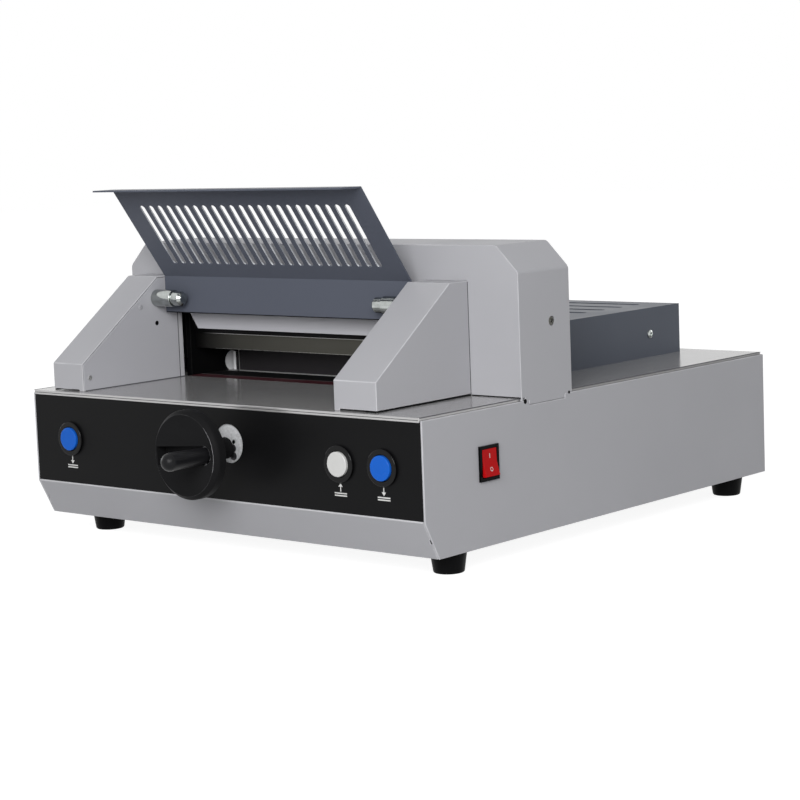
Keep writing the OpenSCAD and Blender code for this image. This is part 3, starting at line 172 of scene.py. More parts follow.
def dustGroup():
    # a thin film on faces that look up
    film = {"colour": (0.6, 0.58, 0.55, 1.0), "scale": 25.0, "facing": (0.6, 1.0), "cloud": (0.35, 0.75)}
    tree, given, out = newGroup("dust", {"Color": white, "Amount": 0.05}, ["Color", "Mask"])
    normal = put(tree, "ShaderNodeNewGeometry").outputs["Normal"]
    up = put(tree, "ShaderNodeSeparateXYZ", {0: normal}).outputs["Z"]
    facing = spread(tree, up, *film["facing"], 0.0, 1.0)
    cloud = spread(tree, noise(tree, film["scale"], detail=5.0), *film["cloud"], 0.0, 1.0)
    mask = times(tree, times(tree, facing, cloud), given["Amount"])
    tree.links.new(blendColour(tree, mask, given["Color"], film["colour"]), out["Color"])
    tree.links.new(mask, out["Mask"])
    return tree


def streakGroup():
    # grinding marks that run along one axis
    tree, given, out = newGroup("streaks", {"Stretch": (8.0, 900.0, 900.0)}, ["Value"])
    sockets = {0: objectPlace(tree), 1: given["Stretch"]}
    pulled = put(tree, "ShaderNodeVectorMath", sockets, operation="MULTIPLY").outputs[0]
    tree.links.new(noise(tree, scale=1.0, detail=3.0, vector=pulled), out["Value"])
    return tree


def bandGroup():
    # a level band of another colour, as on a ground edge
    inputs = {"Color": white, "Band": white, "Height": 0.0, "Width": 0.001}
    tree, given, out = newGroup("band", inputs, ["Color"])
    sockets = {0: placeAlong(tree, "Z"), 1: given["Height"], 2: given["Width"]}
    inside = put(tree, "ShaderNodeMath", sockets, operation="COMPARE").outputs[0]
    tree.links.new(blendColour(tree, inside, given["Color"], given["Band"]), out["Color"])
    return tree


def endShadeGroup():
    # painted shade: the colour runs into a darker one along X, where the end of a part lies in the shade of
    # the throat
    inputs = {"Color": white, "Dark": (0.0, 0.0, 0.0, 1.0), "From": 0.0, "To": 0.1}
    tree, given, out = newGroup("fade", inputs, ["Color"])
    along = placeAlong(tree, "X")
    share = spread(tree, along, given["From"], given["To"], 0.0, 1.0, interpolation_type="SMOOTHSTEP")
    tree.links.new(blendColour(tree, share, given["Dark"], given["Color"]), out["Color"])
    return tree


makers = (mottleGroup, peelGroup, edgeWearAndHighlightGroup, dustGroup, streakGroup, bandGroup, endShadeGroup)
effects = {group.name: group for group in [make() for make in makers]}
print("effects ready:", ", ".join(effects))


def effect(tree, name, sockets):
    return put(tree, "ShaderNodeGroup", sockets, node_tree=effects[name]).outputs


# finishes: rough is a range, mottle is (scale, amount), the edge tone mix is (amount, scale): worn paint and
# painted highlight
def newFinish(name, constants):
    made = bpy.data.materials.new(name)
    made.use_nodes = True
    shader = made.node_tree.nodes["Principled BSDF"]
    for label, value in constants.items():
        shader.inputs[label].default_value = value
    return made, made.node_tree, shader


def bumped(tree, shader, height, strength, depth):
    bump = put(tree, "ShaderNodeBump", {"Height": height, "Strength": strength, "Distance": depth * mm})
    tree.links.new(bump.outputs["Normal"], shader.inputs["Normal"])


def paintFinish(name, colour, bare, rough, peel, mottle=(7, 0.03), wear=(0.25, 70), dust=0.05, specular=0.5):
    # peel is (scale, strength, depth in mm), and dust also dulls the sheen
    haze = {"scale": 14.0, "detail": 4.0, "dulled": 0.5}
    made, tree, shader = newFinish(name, {"Specular IOR Level": specular})
    tone = effect(tree, "mottle", {"Color": colour, "Scale": mottle[0], "Amount": mottle[1]})["Color"]
    worn = effect(tree, "edgeWearAndHighlight", {"Color": tone, "Bare": bare, "Amount": wear[0], "Scale": wear[1]})
    film = effect(tree, "dust", {"Color": worn["Color"], "Amount": dust})
    tree.links.new(film["Color"], shader.inputs["Base Color"])
    sheen = spread(tree, noise(tree, haze["scale"], haze["detail"]), *usual, *rough)
    dull = times(tree, film["Mask"], haze["dulled"])
    tree.links.new(plus(tree, sheen, dull), shader.inputs["Roughness"])
    bumped(tree, shader, effect(tree, "peel", {"Scale": peel[0]})["Height"], peel[1], peel[2])
    return made


def plasticFinish(name, colour, rough, peel, bare=None, mottle=(30, 0.03), wear=(0.15, 90), dust=0.03,
                  specular=0.5):
    # the same layers as paint, and an edge tone of the same colour unless another is given
    return paintFinish(name, colour, bare or colour, rough, peel, mottle, wear, dust, specular)


def steelFinish(name, colour, rough, stretch, grain=0.15, depth=0.02, mottle=(9, 0.05), dust=0.0, dents=None,
                specular=0.5, metal=1.0, band=None, fade=None):
    # stretch pulls the grinding marks, grain and depth (mm) raise them, dents is (scale, share)
    made, tree, shader = newFinish(name, {"Metallic": metal, "Specular IOR Level": specular})
    tone = effect(tree, "mottle", {"Color": colour, "Scale": mottle[0], "Amount": mottle[1]})["Color"]
    for extra, sockets in (("band", band), ("fade", fade)):
        if sockets:
            tone = effect(tree, extra, {"Color": tone, **sockets})["Color"]
    film = effect(tree, "dust", {"Color": tone, "Amount": dust})
    tree.links.new(film["Color"], shader.inputs["Base Color"])
    lines = effect(tree, "streaks", {"Stretch": stretch})["Value"]
    tree.links.new(spread(tree, lines, *usual, *rough), shader.inputs["Roughness"])
    height = lines
    if dents:
        height = plus(tree, lines, times(tree, noise(tree, dents[0], detail=2.0), dents[1]))
    bumped(tree, shader, height, grain, depth)
    return made


paints = {
    # painted_grey's light edge tone is a painted highlight along its rounded folds and edges
    "painted_grey": dict(colour=ink(170, 170, 174), bare=ink(214, 214, 217), rough=(0.42, 0.52),
                         peel=(1100, 0.08, 0.05), mottle=(6, 0.02), wear=(0.55, 40), dust=0.03,
                         specular=0.35),
    "panel_black": dict(colour=ink(14, 14, 15), bare=ink(52, 52, 54), rough=(0.34, 0.42),
                        peel=(1500, 0.05, 0.04), mottle=(5, 0.08), wear=(0.25, 60), dust=0.004,
                        specular=0.08),
    # guard_paint's near-white edge tone is a painted reflection on the cut walls of the slots
    "guard_paint": dict(colour=ink(86, 90, 101), bare=ink(214, 216, 219), rough=(0.34, 0.44),
                        peel=(1300, 0.06, 0.04), mottle=(6, 0.03), wear=(0.95, 50), dust=0.02, specular=0.08),
    "motor_black": dict(colour=ink(36, 36, 38), bare=ink(90, 90, 92), rough=(0.5, 0.6),
                        peel=(700, 0.2, 0.06), specular=0.2),
    "gauge_black": dict(colour=ink(46, 44, 46), bare=ink(90, 88, 84), rough=(0.3, 0.4),
                        peel=(1200, 0.06, 0.04), mottle=(5, 0.06), wear=(0.3, 50), dust=0.01, specular=0.12),
    "guide_black": dict(colour=ink(10, 10, 11), bare=ink(18, 18, 19), rough=(0.4, 0.5),
                        peel=(1200, 0.08, 0.04), dust=0.0, specular=0.05),
    "cover_paint": dict(colour=ink(82, 87, 97), bare=ink(132, 138, 148), rough=(0.34, 0.44),
                        peel=(1300, 0.06, 0.04), mottle=(6, 0.04), wear=(0.25, 50), dust=0.02, specular=0.14),
    # a lighter copy of painted_grey for the cheek panels and knife carrier: painted light for the shade they
    # stand in
    "inner_grey": dict(colour=ink(180, 180, 185), bare=ink(214, 214, 217), rough=(0.42, 0.52),
                       peel=(1100, 0.08, 0.05), mottle=(6, 0.02), wear=(0.55, 40), dust=0.02, specular=0.35),
    # a lighter grey for a painted highlight
    "bead_paint": dict(colour=ink(196, 196, 199), bare=ink(220, 220, 222), rough=(0.4, 0.5),
                       peel=(1100, 0.06, 0.03), mottle=(20, 0.05), specular=0.4),
}
plastics = {
    "stick_red": dict(colour=ink(58, 21, 28), rough=(0.45, 0.6), peel=(500, 0.2, 0.06), mottle=(40, 0.1),
                      specular=0.1),
    "white_plastic": dict(colour=ink(204, 204, 202), rough=(0.22, 0.3), peel=(700, 0.06, 0.04), specular=0.4),
    "blue_plastic": dict(colour=ink(22, 94, 194), rough=(0.24, 0.32), peel=(700, 0.06, 0.04), specular=0.12),
    "red_plastic": dict(colour=ink(178, 17, 20), rough=(0.18, 0.26), peel=(700, 0.06, 0.04), dust=0.0,
                        specular=0.05),
    # black_plastic's lighter edge tone is partly worn plastic and partly painted edge highlight
    "black_plastic": dict(colour=ink(17, 17, 18), bare=ink(92, 92, 95), rough=(0.26, 0.34),
                          peel=(1000, 0.08, 0.05), mottle=(25, 0.08), wear=(0.6, 60), dust=0.003,
                          specular=0.07),
    "board": dict(colour=ink(38, 92, 62), rough=(0.4, 0.5), peel=(600, 0.15, 0.05)),
    "foot_rubber": dict(colour=ink(9, 9, 10), bare=ink(30, 30, 30), rough=(0.36, 0.48),
                        peel=(800, 0.2, 0.08), mottle=(60, 0.12), wear=(0.2, 60), dust=0.005, specular=0.05),
    "handle_black": dict(colour=ink(21, 21, 23), bare=ink(50, 50, 52), rough=(0.34, 0.4),
                         peel=(1000, 0.08, 0.05), mottle=(25, 0.08), wear=(0.2, 60), dust=0.0, specular=0.14),
    # knob_black's near-white edge tone is a painted highlight on the right side of the inner rim
    "knob_black": dict(colour=ink(27, 27, 28), bare=ink(226, 226, 230), rough=(0.4, 0.48),
                       peel=(1000, 0.08, 0.05), mottle=(25, 0.08), wear=(1.0, 60), dust=0.0, specular=0.02),
    "bezel_black": dict(colour=ink(10, 10, 11), bare=ink(40, 40, 42), rough=(0.06, 0.1),
                        peel=(900, 0.03, 0.03), mottle=(25, 0.08), wear=(0.2, 60), dust=0.0, specular=0.16),
    "switch_black": dict(colour=ink(8, 8, 9), bare=ink(24, 24, 25), rough=(0.2, 0.3),
                         peel=(900, 0.03, 0.03), mottle=(25, 0.08), wear=(0.2, 60), dust=0.0, specular=0.04),
    "sight_white": dict(colour=ink(250, 250, 252), rough=(0.3, 0.4), peel=(700, 0.06, 0.04)),
    "white_print": dict(colour=ink(206, 206, 204), rough=(0.45, 0.55), peel=(1600, 0.05, 0.02)),
    # black_gap is near-black for dark seams, and painted shade for holes and shadow lines
    "black_gap": dict(colour=ink(16, 16, 17), rough=(0.7, 0.8), peel=(900, 0.1, 0.03), dust=0.0,
                      specular=0.05),
    "seam_grey": dict(colour=ink(82, 82, 86), rough=(0.6, 0.7), peel=(900, 0.1, 0.03), dust=0.0,
                      specular=0.1),
}
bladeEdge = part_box("knife_blade")[0].z
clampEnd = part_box("clamp_bar")[0].x
groundEdge = {"Band": ink(196, 196, 194), "Height": bladeEdge, "Width": 0.5 * mm}
# painted shade: the blade and the clamp bar darken towards their left ends, in the shade of the throat
bladeEndShade = {"Dark": ink(12, 12, 13), "From": clampEnd + 10 * mm, "To": clampEnd + 48 * mm}
clampEndShade = {"Dark": ink(15, 14, 14), "From": clampEnd, "To": clampEnd + 80 * mm}
steels = {
    "table_steel": dict(colour=ink(180, 179, 179), rough=(0.16, 0.22), stretch=(14, 900, 900), grain=0.03,
                        mottle=(5, 0.03), dust=0.02, metal=0.46),
    "rear_steel": dict(colour=ink(158, 157, 157), rough=(0.15, 0.2), stretch=(14, 900, 900), grain=0.04,
                       mottle=(5, 0.04), dust=0.02, specular=0.3, metal=0.3),
    "bright_steel": dict(colour=ink(176, 180, 178), rough=(0.08, 0.2), stretch=(30, 420, 420), grain=0.45,
                         depth=0.06, mottle=(90, 0.22), dents=(300, 3.0)),
    "zinc_steel": dict(colour=ink(186, 187, 186), rough=(0.32, 0.46), stretch=(60, 240, 240), grain=0.2,
                       mottle=(180, 0.1), metal=0.7),
    # plate_zinc is lighter and less metallic than zinc_steel: painted light for the shade the knob casts on
    # the plate
    "plate_zinc": dict(colour=ink(206, 207, 209), rough=(0.4, 0.55), stretch=(160, 160, 160), grain=0.25,
                       mottle=(420, 0.16), metal=0.1),
    "liner_steel": dict(colour=ink(206, 206, 210), rough=(0.3, 0.42), stretch=(300, 300, 20), grain=0.12,
                        mottle=(12, 0.05), metal=0.2),
    "dark_steel": dict(colour=ink(70, 69, 63), rough=(0.36, 0.48), stretch=(9, 500, 500), grain=0.12,
                       mottle=(10, 0.08), metal=0.7),
    "clamp_steel": dict(colour=ink(72, 71, 65), rough=(0.36, 0.48), stretch=(9, 500, 500), grain=0.12,
                        mottle=(10, 0.08), metal=0.7, fade=clampEndShade),
    "blade_steel": dict(colour=ink(24, 24, 25), rough=(0.3, 0.4), stretch=(9, 600, 600), grain=0.12,
                        mottle=(10, 0.06), specular=0.1, metal=0.3, band=groundEdge, fade=bladeEndShade),
    "bronze": dict(colour=ink(190, 158, 98), rough=(0.26, 0.4), stretch=(200, 200, 20)),
    "black_screw": dict(colour=ink(44, 44, 46), rough=(0.3, 0.42), stretch=(300, 300, 300), grain=0.1,
                        metal=0.6),
    "dark_screw": dict(colour=ink(88, 88, 84), rough=(0.14, 0.26), stretch=(200, 200, 200), grain=0.3,
                       mottle=(300, 0.3)),
    "dull_screw": dict(colour=ink(126, 126, 122), rough=(0.22, 0.34), stretch=(200, 200, 200), grain=0.2,
                       mottle=(300, 0.2)),
}
finishes = {}
for make, rows in ((paintFinish, paints), (plasticFinish, plastics), (steelFinish, steels)):
    finishes.update({name: make(camel(name), **values) for name, values in rows.items()})
print("finishes ready:", len(finishes))


# pieces and their meshes
def newPiece(name, mesh):
    piece = bpy.data.objects.new(name, mesh)
    bpy.context.scene.collection.objects.link(piece)
    return piece


def settle(piece, body):
    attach(piece, body)
    return piece


def meshFrom(bm, name, finish=None):
    mesh = bpy.data.meshes.new(name)
    bm.to_mesh(mesh)
    bm.free()
    if finish:
        mesh.materials.append(finishes[finish])
    return mesh


def dropLayers(mesh, names):
    for name in names:
        if name in mesh.attributes:
            mesh.attributes.remove(mesh.attributes[name])


def plain(piece):
    # bakes the modifiers into one plain mesh
    graph = bpy.context.evaluated_depsgraph_get()
    shown = piece.evaluated_get(graph)
    mesh = bpy.data.meshes.new_from_object(shown, preserve_all_data_layers=True, depsgraph=graph)
    piece.modifiers.clear()
    piece.data = mesh
    mesh.name = piece.name


def smoothFaces(piece, angle):
    piece.data.shade_smooth()
    piece.data.set_sharp_from_angle(angle=math.radians(angle))
    piece.modifiers.new("evenShade", "WEIGHTED_NORMAL").keep_sharp = True
    plain(piece)


def mmBox(node):
    # the two corners of a node's box, in millimetres
    low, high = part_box(node)
    return low / mm, high / mm


# places that several pieces share, in millimetres
bridgeLow, bridgeHigh = mmBox("bridge_cover")
tableLow, tableHigh = mmBox("work_table")
frontLow, frontHigh = mmBox("front_panel")
panelFace = frontLow.y
tableTop = tableHigh.z
wallLeft = mmBox("left_wall")[0].x
wallRight = mmBox("right_wall")[1].x
middle = (wallLeft + wallRight) / 2
plateFace = mmBox("bearing_plate")[0].y
# the inner faces of the cheeks, and the way each of them looks along X
innerPanels = ((mmBox("left_cheek_panel")[1].x, 1), (mmBox("right_cheek_panel")[0].x, -1))

# the nodes with rounded edges
same = 0.2  # places closer than this count as one, in millimetres
seatTool = {"sides": 32, "above": 1.0, "clear": 1.0}
rounding = {"angle": 28, "steps": 3, "narrow": 0.4, "weld": 0.002, "flat": 0.3, "least": 0.004, "shading": 40}
dressed = []


def seated(node, seats):
    # a copy of the node's mesh with shallow round seats for sunk screw heads
    radius = seats["radius"] * mm
    deep = seats["depth"] * mm
    above = seatTool["above"] * mm
    bm = bmesh.new()
    for place, facing in seats["rows"]:
        way = Vector(facing)
        turn = way.to_track_quat("Z", "Y").to_matrix().to_4x4()
        turn.translation = Vector(place) * mm + way * ((above - deep) / 2)
        bmesh.ops.create_cone(bm, cap_ends=True, segments=seatTool["sides"], radius1=radius, radius2=radius,
                              depth=deep + above, matrix=turn)
    tool = newPiece("seatTool", meshFrom(bm, "seatTool"))
    piece = newPiece("seatWork", frame["nodes"][node].data.copy())
    cut = piece.modifiers.new("seats", "BOOLEAN")
    cut.operation = "DIFFERENCE"
    cut.solver = "EXACT"
    cut.object = tool
    plain(piece)
    mesh = piece.data
    bpy.data.objects.remove(piece)
    bpy.data.objects.remove(tool)
    return mesh


def ends(edge):
    return [vert.co / mm for vert in edge.verts]


def awayFrom(seats):
    # leaves out the edges of the seats
    def chosen(edge):
        one, two = ends(edge)
        reach = seats["radius"] + seatTool["clear"]
        return all(((one + two) / 2 - Vector(place)).length > reach for place, facing in seats["rows"])
    return chosen


def offInnerSides(node, sheet):
    # leaves out the edges on the inner sides of a folded cover
    low, high = mmBox(node)

    def chosen(edge):
        return not any(all(abs(end.x - x) < same for end in ends(edge))
                       for x in (low.x + sheet, high.x - sheet))
    return chosen


def nearRightFace(node, depth):
    # keeps only the edges close to the right-hand face
    face = mmBox(node)[1].x
    return lambda edge: all(end.x > face - depth for end in ends(edge))


def roundEdges(bm, rim, chosen, width, steps, worn=1.0):
    # rounds sharp edges between faces that are wide enough, and marks how much edge tone, worn paint and
    # painted highlight, the new faces get
    least = rounding["narrow"] * width * mm
    edges = [edge for edge in bm.edges if edge.is_manifold
             and edge.calc_face_angle() > math.radians(rounding["angle"])
             and min(face.calc_area() for face in edge.link_faces) > least * edge.calc_length()
             and chosen(edge)]
    made = bmesh.ops.bevel(bm, geom=edges, offset=width * mm, offset_type="OFFSET", segments=steps,
                           profile=0.5, affect="EDGES", clamp_overlap=True, loop_slide=False)
    for face in made["faces"]:
        face[rim] = worn(face) if callable(worn) else worn


def dress(node, edge, finish=None, first=(), seats=None, chosen=None):
    # a copy of the node, with its folds and rims rounded by edge millimetres
    bm = bmesh.new()
    bm.from_mesh(seated(node, seats) if seats else frame["nodes"][node].data)
    bmesh.ops.remove_doubles(bm, verts=bm.verts, dist=rounding["weld"] * mm)
    bmesh.ops.dissolve_limit(bm, angle_limit=math.radians(rounding["flat"]), verts=bm.verts, edges=bm.edges)
    rim = bm.faces.layers.float.new("rim")
    for row in first:
        roundEdges(bm, rim, **row)
    if edge:
        tests = [test for test in (chosen, seats and awayFrom(seats)) if test]
        roundEdges(bm, rim, lambda item: all(test(item) for test in tests), edge, rounding["steps"])
    bmesh.ops.dissolve_degenerate(bm, dist=rounding["least"] * mm, edges=bm.edges)
    name = camel(node) + "Look"
    mesh = meshFrom(bm, name, finish or slotOfNode[node])
    dropLayers(mesh, ("custom_normal", "UVMap"))
    piece = newPiece(name, mesh)
    smoothFaces(piece, rounding["shading"])
    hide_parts(node)
    dressed.append(node)
    return settle(piece, bodyOfNode[node])


plainEdges = {  # rounding in millimetres, where 0.0 keeps sharp edges
    "left_wall": 0.8, "right_wall": 0.8, "skirt": 0.8, "bottom_plate": 0.5, "front_panel": 0.4,
    "left_cheek": 0.7, "right_cheek": 0.7, "work_table": 0.6, "cutting_stick": 0.3, "cross_beam": 0.8,
    "hinge_bolts": 0.0, "guard_sleeves": 0.6, "crank_arm": 0.6, "crank_roller": 0.4, "drive_bracket": 0.4,
    "gearmotor": 1.2, "clamp_rods": 0.5, "clamp_nut": 0.5, "clamp_drive": 0.8, "lead_screw": 0.4,
    "gauge_bars": 0.6, "guide_rods": 0.5, "gauge_carriage": 0.6, "table_rails": 0.5, "stick_bed": 0.5,
    "control_unit": 0.8, "rocker": 0.5, "power_inlet": 0.5, "feet": 1.6,
    "button_left": 0.9, "button_white": 0.9, "button_right": 0.9,
}
for node, edge in plainEdges.items():
    dress(node, edge)

bridgeShape = {"edge": 0.9, "sheet": 2.0, "fold": 2.4, "steps": 2, "long": 10.0, "above": 50.0}
bridgeScrew = {"fromFront": 50.7, "aboveTable": 68.6, "radius": 4.9, "height": 1.2, "depth": 1.4}
screwBack = bridgeLow.y + bridgeScrew["fromFront"]
screwUp = tableTop + bridgeScrew["aboveTable"]
bridgeScrew["rows"] = [((bridgeHigh.x, screwBack, screwUp), (1, 0, 0)),
                       ((bridgeLow.x, screwBack, screwUp), (-1, 0, 0))]


def onBridgeFold(edge):
    # the soft bends along the top of the cover
    one, two = ends(edge)
    level = max(abs(one.x - two.x), abs(one.z - two.z)) < same and abs(one.y - two.y) > bridgeShape["long"]
    outer = min(abs(one.x - bridgeLow.x), abs(one.x - bridgeHigh.x), abs(one.z - bridgeHigh.z)) < same
    return level and outer and one.z > tableTop + bridgeShape["above"]


dress("bridge_cover", bridgeShape["edge"], seats=bridgeScrew,
      first=[dict(chosen=onBridgeFold, width=bridgeShape["fold"], steps=bridgeShape["steps"], worn=0.0)],
      chosen=offInnerSides("bridge_cover", bridgeShape["sheet"]))

rearScrew = {"edge": 0.6, "inset": 14.0, "ups": (30.0, 100.0), "radius": 3.4, "height": 1.0, "depth": 1.2}
rearLow, rearHigh = mmBox("rear_wall")
rearScrew["rows"] = [((x, rearHigh.y, rearLow.z + up), (0, 1, 0))
                     for x in (rearLow.x + rearScrew["inset"], rearHigh.x - rearScrew["inset"])
                     for up in rearScrew["ups"]]
dress("rear_wall", rearScrew["edge"], seats=rearScrew)

ownFinish = {  # nodes with a finish of their own, and their rounding
    "left_frame": ("guide_black", 0.5), "right_frame": ("guide_black", 0.5),
    "clamp_bar": ("clamp_steel", 0.6),
    "left_cheek_panel": ("inner_grey", 0.3), "right_cheek_panel": ("inner_grey", 0.3),
    "knife_carrier": ("inner_grey", 0.5), "knife_guides": ("guide_black", 0.4),
    "bearing_plate": ("plate_zinc", 0.3), "sight_plug": ("sight_white", 0.3),
    "rear_table": ("rear_steel", 0.5), "rear_cover": ("cover_paint", 0.7),
    "button_bezels": ("bezel_black", 1.2), "knife_blade": ("blade_steel", 0.0),
    "back_gauge": ("gauge_black", 0.8), "throat_liners": ("liner_steel", 0.3),
    "handle_pin": ("black_screw", 0.3), "wheel_handle": ("handle_black", 0.25),
}
for node, (finish, edge) in ownFinish.items():
    dress(node, edge, finish)

switchFrame = {"edge": 0.6, "depth": 2.0}
dress("rocker_bezel", switchFrame["edge"], "switch_black",
      chosen=nearRightFace("rocker_bezel", switchFrame["depth"]))

guardShape = {"edge": 0.4, "facing": 0.6, "inset": 5.0, "rubbed": 0.1}
guardLow, guardHigh = mmBox("guard")


def dressGuard():
    # the cut walls of the slots facing along X get the full light edge tone, a painted reflection of light,
    # and the other rims only a little of it
    piece = dress("guard", guardShape["edge"])
    left = guardLow.x + guardShape["inset"]
    right = guardHigh.x - guardShape["inset"]
    rim = piece.data.attributes["rim"].data
    for face in piece.data.polygons:
        cut = abs(face.normal.x) > guardShape["facing"] and left < face.center.x / mm < right
        rim[face.index].value = 1.0 if cut else rim[face.index].value * guardShape["rubbed"]


dressGuard()

knobShape = {"edge": 0.3, "bevel": 4.0, "outer": 1.6, "inner": 0.7, "steps": 6, "grooveEnd": 0.9,
             "grooveSteps": 4, "reach": 16.0, "rubbed": (-20, 45), "hardly": 0.1}
knobLow, knobHigh = mmBox("knob")
knobCentre = (knobLow + knobHigh) / 2
pinLow, pinHigh = mmBox("handle_pin")
pinCentre = (pinLow + pinHigh) / 2


def fromAxis(place, axis):
    # the distance from an axis that runs along Y
    return math.hypot(place.x - axis.x, place.z - axis.z)


def onRim(inward):
    # the edges of the front rim at one distance in from its outer face
    radius = (knobHigh.x - knobLow.x) / 2 - inward
    back = knobLow.y + knobShape["bevel"] + same

    def chosen(edge):
        return all(abs(fromAxis(end, knobCentre) - radius) < same and end.y < back for end in ends(edge))
    return chosen


def onGrooveEnd(edge):
    # the round end of the groove, beside the pin
    return all(end.y < knobLow.y + same and end.x > pinCentre.x
               and fromAxis(end, pinCentre) < knobShape["reach"] for end in ends(edge))


def rubbed(face):
    # painted highlight: the inner rim gets the full light edge tone on its right-hand side, where the key
    # light falls, and little elsewhere
    way = face.calc_center_median() / mm - knobCentre
    low, high = knobShape["rubbed"]
    return 1.0 if low < math.degrees(math.atan2(way.z, way.x)) < high else knobShape["hardly"]


knobEdges = [
    dict(chosen=onGrooveEnd, width=knobShape["grooveEnd"], steps=knobShape["grooveSteps"]),
    dict(chosen=onRim(0.0), width=knobShape["outer"], steps=knobShape["steps"], worn=0.0),
    dict(chosen=onRim(knobShape["bevel"]), width=knobShape["inner"], steps=knobShape["steps"], worn=rubbed),
]
dress("knob", knobShape["edge"], "knob_black", first=knobEdges)
print("dressed nodes:", len(dressed))


# screw heads by geometry nodes
def screwTree():
    # a head with a cross recess on every point, shaped in shares of its radius and height
    shape = {"sides": 32, "rim": 0.94, "crown": 0.55, "wall": 0.55, "reach": 1.1}
    tree = bpy.data.node_groups.new("screwHeads", "GeometryNodeTree")
    tree.interface.new_socket("Geometry", in_out="INPUT", socket_type="NodeSocketGeometry")
    for label in ("Head Radius", "Head Height", "Recess Width", "Recess Depth"):
        tree.interface.new_socket(label, in_out="INPUT", socket_type="NodeSocketFloat")
    tree.interface.new_socket("Finish", in_out="INPUT", socket_type="NodeSocketMaterial")
    tree.interface.new_socket("Geometry", in_out="OUTPUT", socket_type="NodeSocketGeometry")
    given = tree.nodes.new("NodeGroupInput").outputs
    out = tree.nodes.new("NodeGroupOutput").inputs
    radius = given["Head Radius"]
    height = given["Head Height"]
    wide = given["Recess Width"]

    def part(kind, sockets=None, **settings):
        return put(tree, kind, sockets, **settings).outputs[0]

    def vector(x, y, z):
        return part("ShaderNodeCombineXYZ", {0: x, 1: y, 2: z})

    def raised(mesh, by):
        return part("GeometryNodeTransform", {"Geometry": mesh, "Translation": vector(0.0, 0.0, by)})

    def cone(low, high, share):
        return part("GeometryNodeMeshCone", {"Vertices": shape["sides"], "Depth": times(tree, height, share),
                                             "Radius Bottom": times(tree, radius, low),
                                             "Radius Top": times(tree, radius, high)})

    def combined(operation, base, others):
        node = put(tree, "GeometryNodeMeshBoolean", base, operation=operation, solver="EXACT")
        for mesh in others:
            tree.links.new(mesh, node.inputs["Mesh 2"])
        return node.outputs["Mesh"]

    wall = cone(1.0, shape["rim"], shape["wall"])
    crown = cone(shape["rim"], shape["crown"], 1.0 - shape["wall"])
    head = combined("UNION", {}, [wall, raised(crown, times(tree, height, shape["wall"]))])
    reach = times(tree, radius, shape["reach"])
    tall = times(tree, given["Recess Depth"], 2.0)
    bars = [part("GeometryNodeMeshCube", {"Size": size})
            for size in (vector(reach, wide, tall), vector(wide, reach, tall))]
    screw = combined("DIFFERENCE", {"Mesh 1": head}, [raised(bar, height) for bar in bars])
    facing = part("GeometryNodeInputNamedAttribute", {"Name": "facing"}, data_type="FLOAT_VECTOR")
    spin = part("GeometryNodeInputNamedAttribute", {"Name": "spin"}, data_type="FLOAT")
    turned = part("FunctionNodeAxisAngleToRotation", {"Axis": (0.0, 0.0, 1.0), "Angle": spin})
    aimed = part("FunctionNodeAlignRotationToVector", {"Vector": facing}, axis="Z")
    sockets = {"Rotation": aimed, "Rotate By": turned}
    both = part("FunctionNodeRotateRotation", sockets, rotation_space="LOCAL")
    sockets = {"Points": given["Geometry"], "Instance": screw, "Rotation": both}
    copies = part("GeometryNodeInstanceOnPoints", sockets)
    real = part("GeometryNodeRealizeInstances", {"Geometry": copies})
    coated = part("GeometryNodeSetMaterial", {"Geometry": real, "Material": given["Finish"]})
    tree.links.new(coated, out["Geometry"])
    return tree


screwHeads = screwTree()
screwHead = {"recessWidth": 0.28, "recessDepth": 0.6, "shading": 30}


def screws(name, finish, radius, height, rows):
    # rows of (place in mm, way the head faces, turn of its recess)
    mesh = bpy.data.meshes.new(name)
    mesh.from_pydata([Vector(place) * mm for place, facing, spin in rows], [], [])
    mesh.attributes.new("facing", "FLOAT_VECTOR", "POINT")
    mesh.attributes.new("spin", "FLOAT", "POINT")
    for index, (place, facing, spin) in enumerate(rows):
        mesh.attributes["facing"].data[index].vector = facing
        mesh.attributes["spin"].data[index].value = spin
    piece = newPiece(name, mesh)
    modifier = piece.modifiers.new("heads", "NODES")
    modifier.node_group = screwHeads
    values = {"Head Radius": radius * mm, "Head Height": height * mm, "Finish": finishes[finish],
              "Recess Width": radius * screwHead["recessWidth"] * mm,
              "Recess Depth": height * screwHead["recessDepth"] * mm}
    for item in screwHeads.interface.items_tree:
        if item.in_out == "INPUT" and item.name in values:
            modifier[item.identifier] = values[item.name]
    plain(piece)
    dropLayers(piece.data, ("facing", "spin"))
    smoothFaces(piece, screwHead["shading"])
    return settle(piece, "chassis")


sunkScrew = {"clearance": 0.3, "turn": 0.4, "nextTurn": 0.7}
for name, screw in (("bridgeScrews", bridgeScrew), ("rearScrews", rearScrew)):
    rows = []
    for index, (place, facing) in enumerate(screw["rows"]):
        sunk = Vector(place) - Vector(facing) * screw["depth"]
        rows.append((sunk, facing, sunkScrew["turn"] + sunkScrew["nextTurn"] * index))
    screws(name, "dark_screw", screw["radius"] - sunkScrew["clearance"], screw["height"], rows)

coverScrew = {"fromBack": 57.7, "aboveTable": 24.6, "radius": 4.6, "height": 2.0, "turn": 0.9}
coverLow, coverHigh = mmBox("rear_cover")
back = coverHigh.y - coverScrew["fromBack"]
up = tableTop + coverScrew["aboveTable"]
rows = [((x, back, up), (way, 0, 0), coverScrew["turn"]) for x, way in ((coverHigh.x, 1), (coverLow.x, -1))]
screws("coverScrews", "bright_steel", coverScrew["radius"], coverScrew["height"], rows)

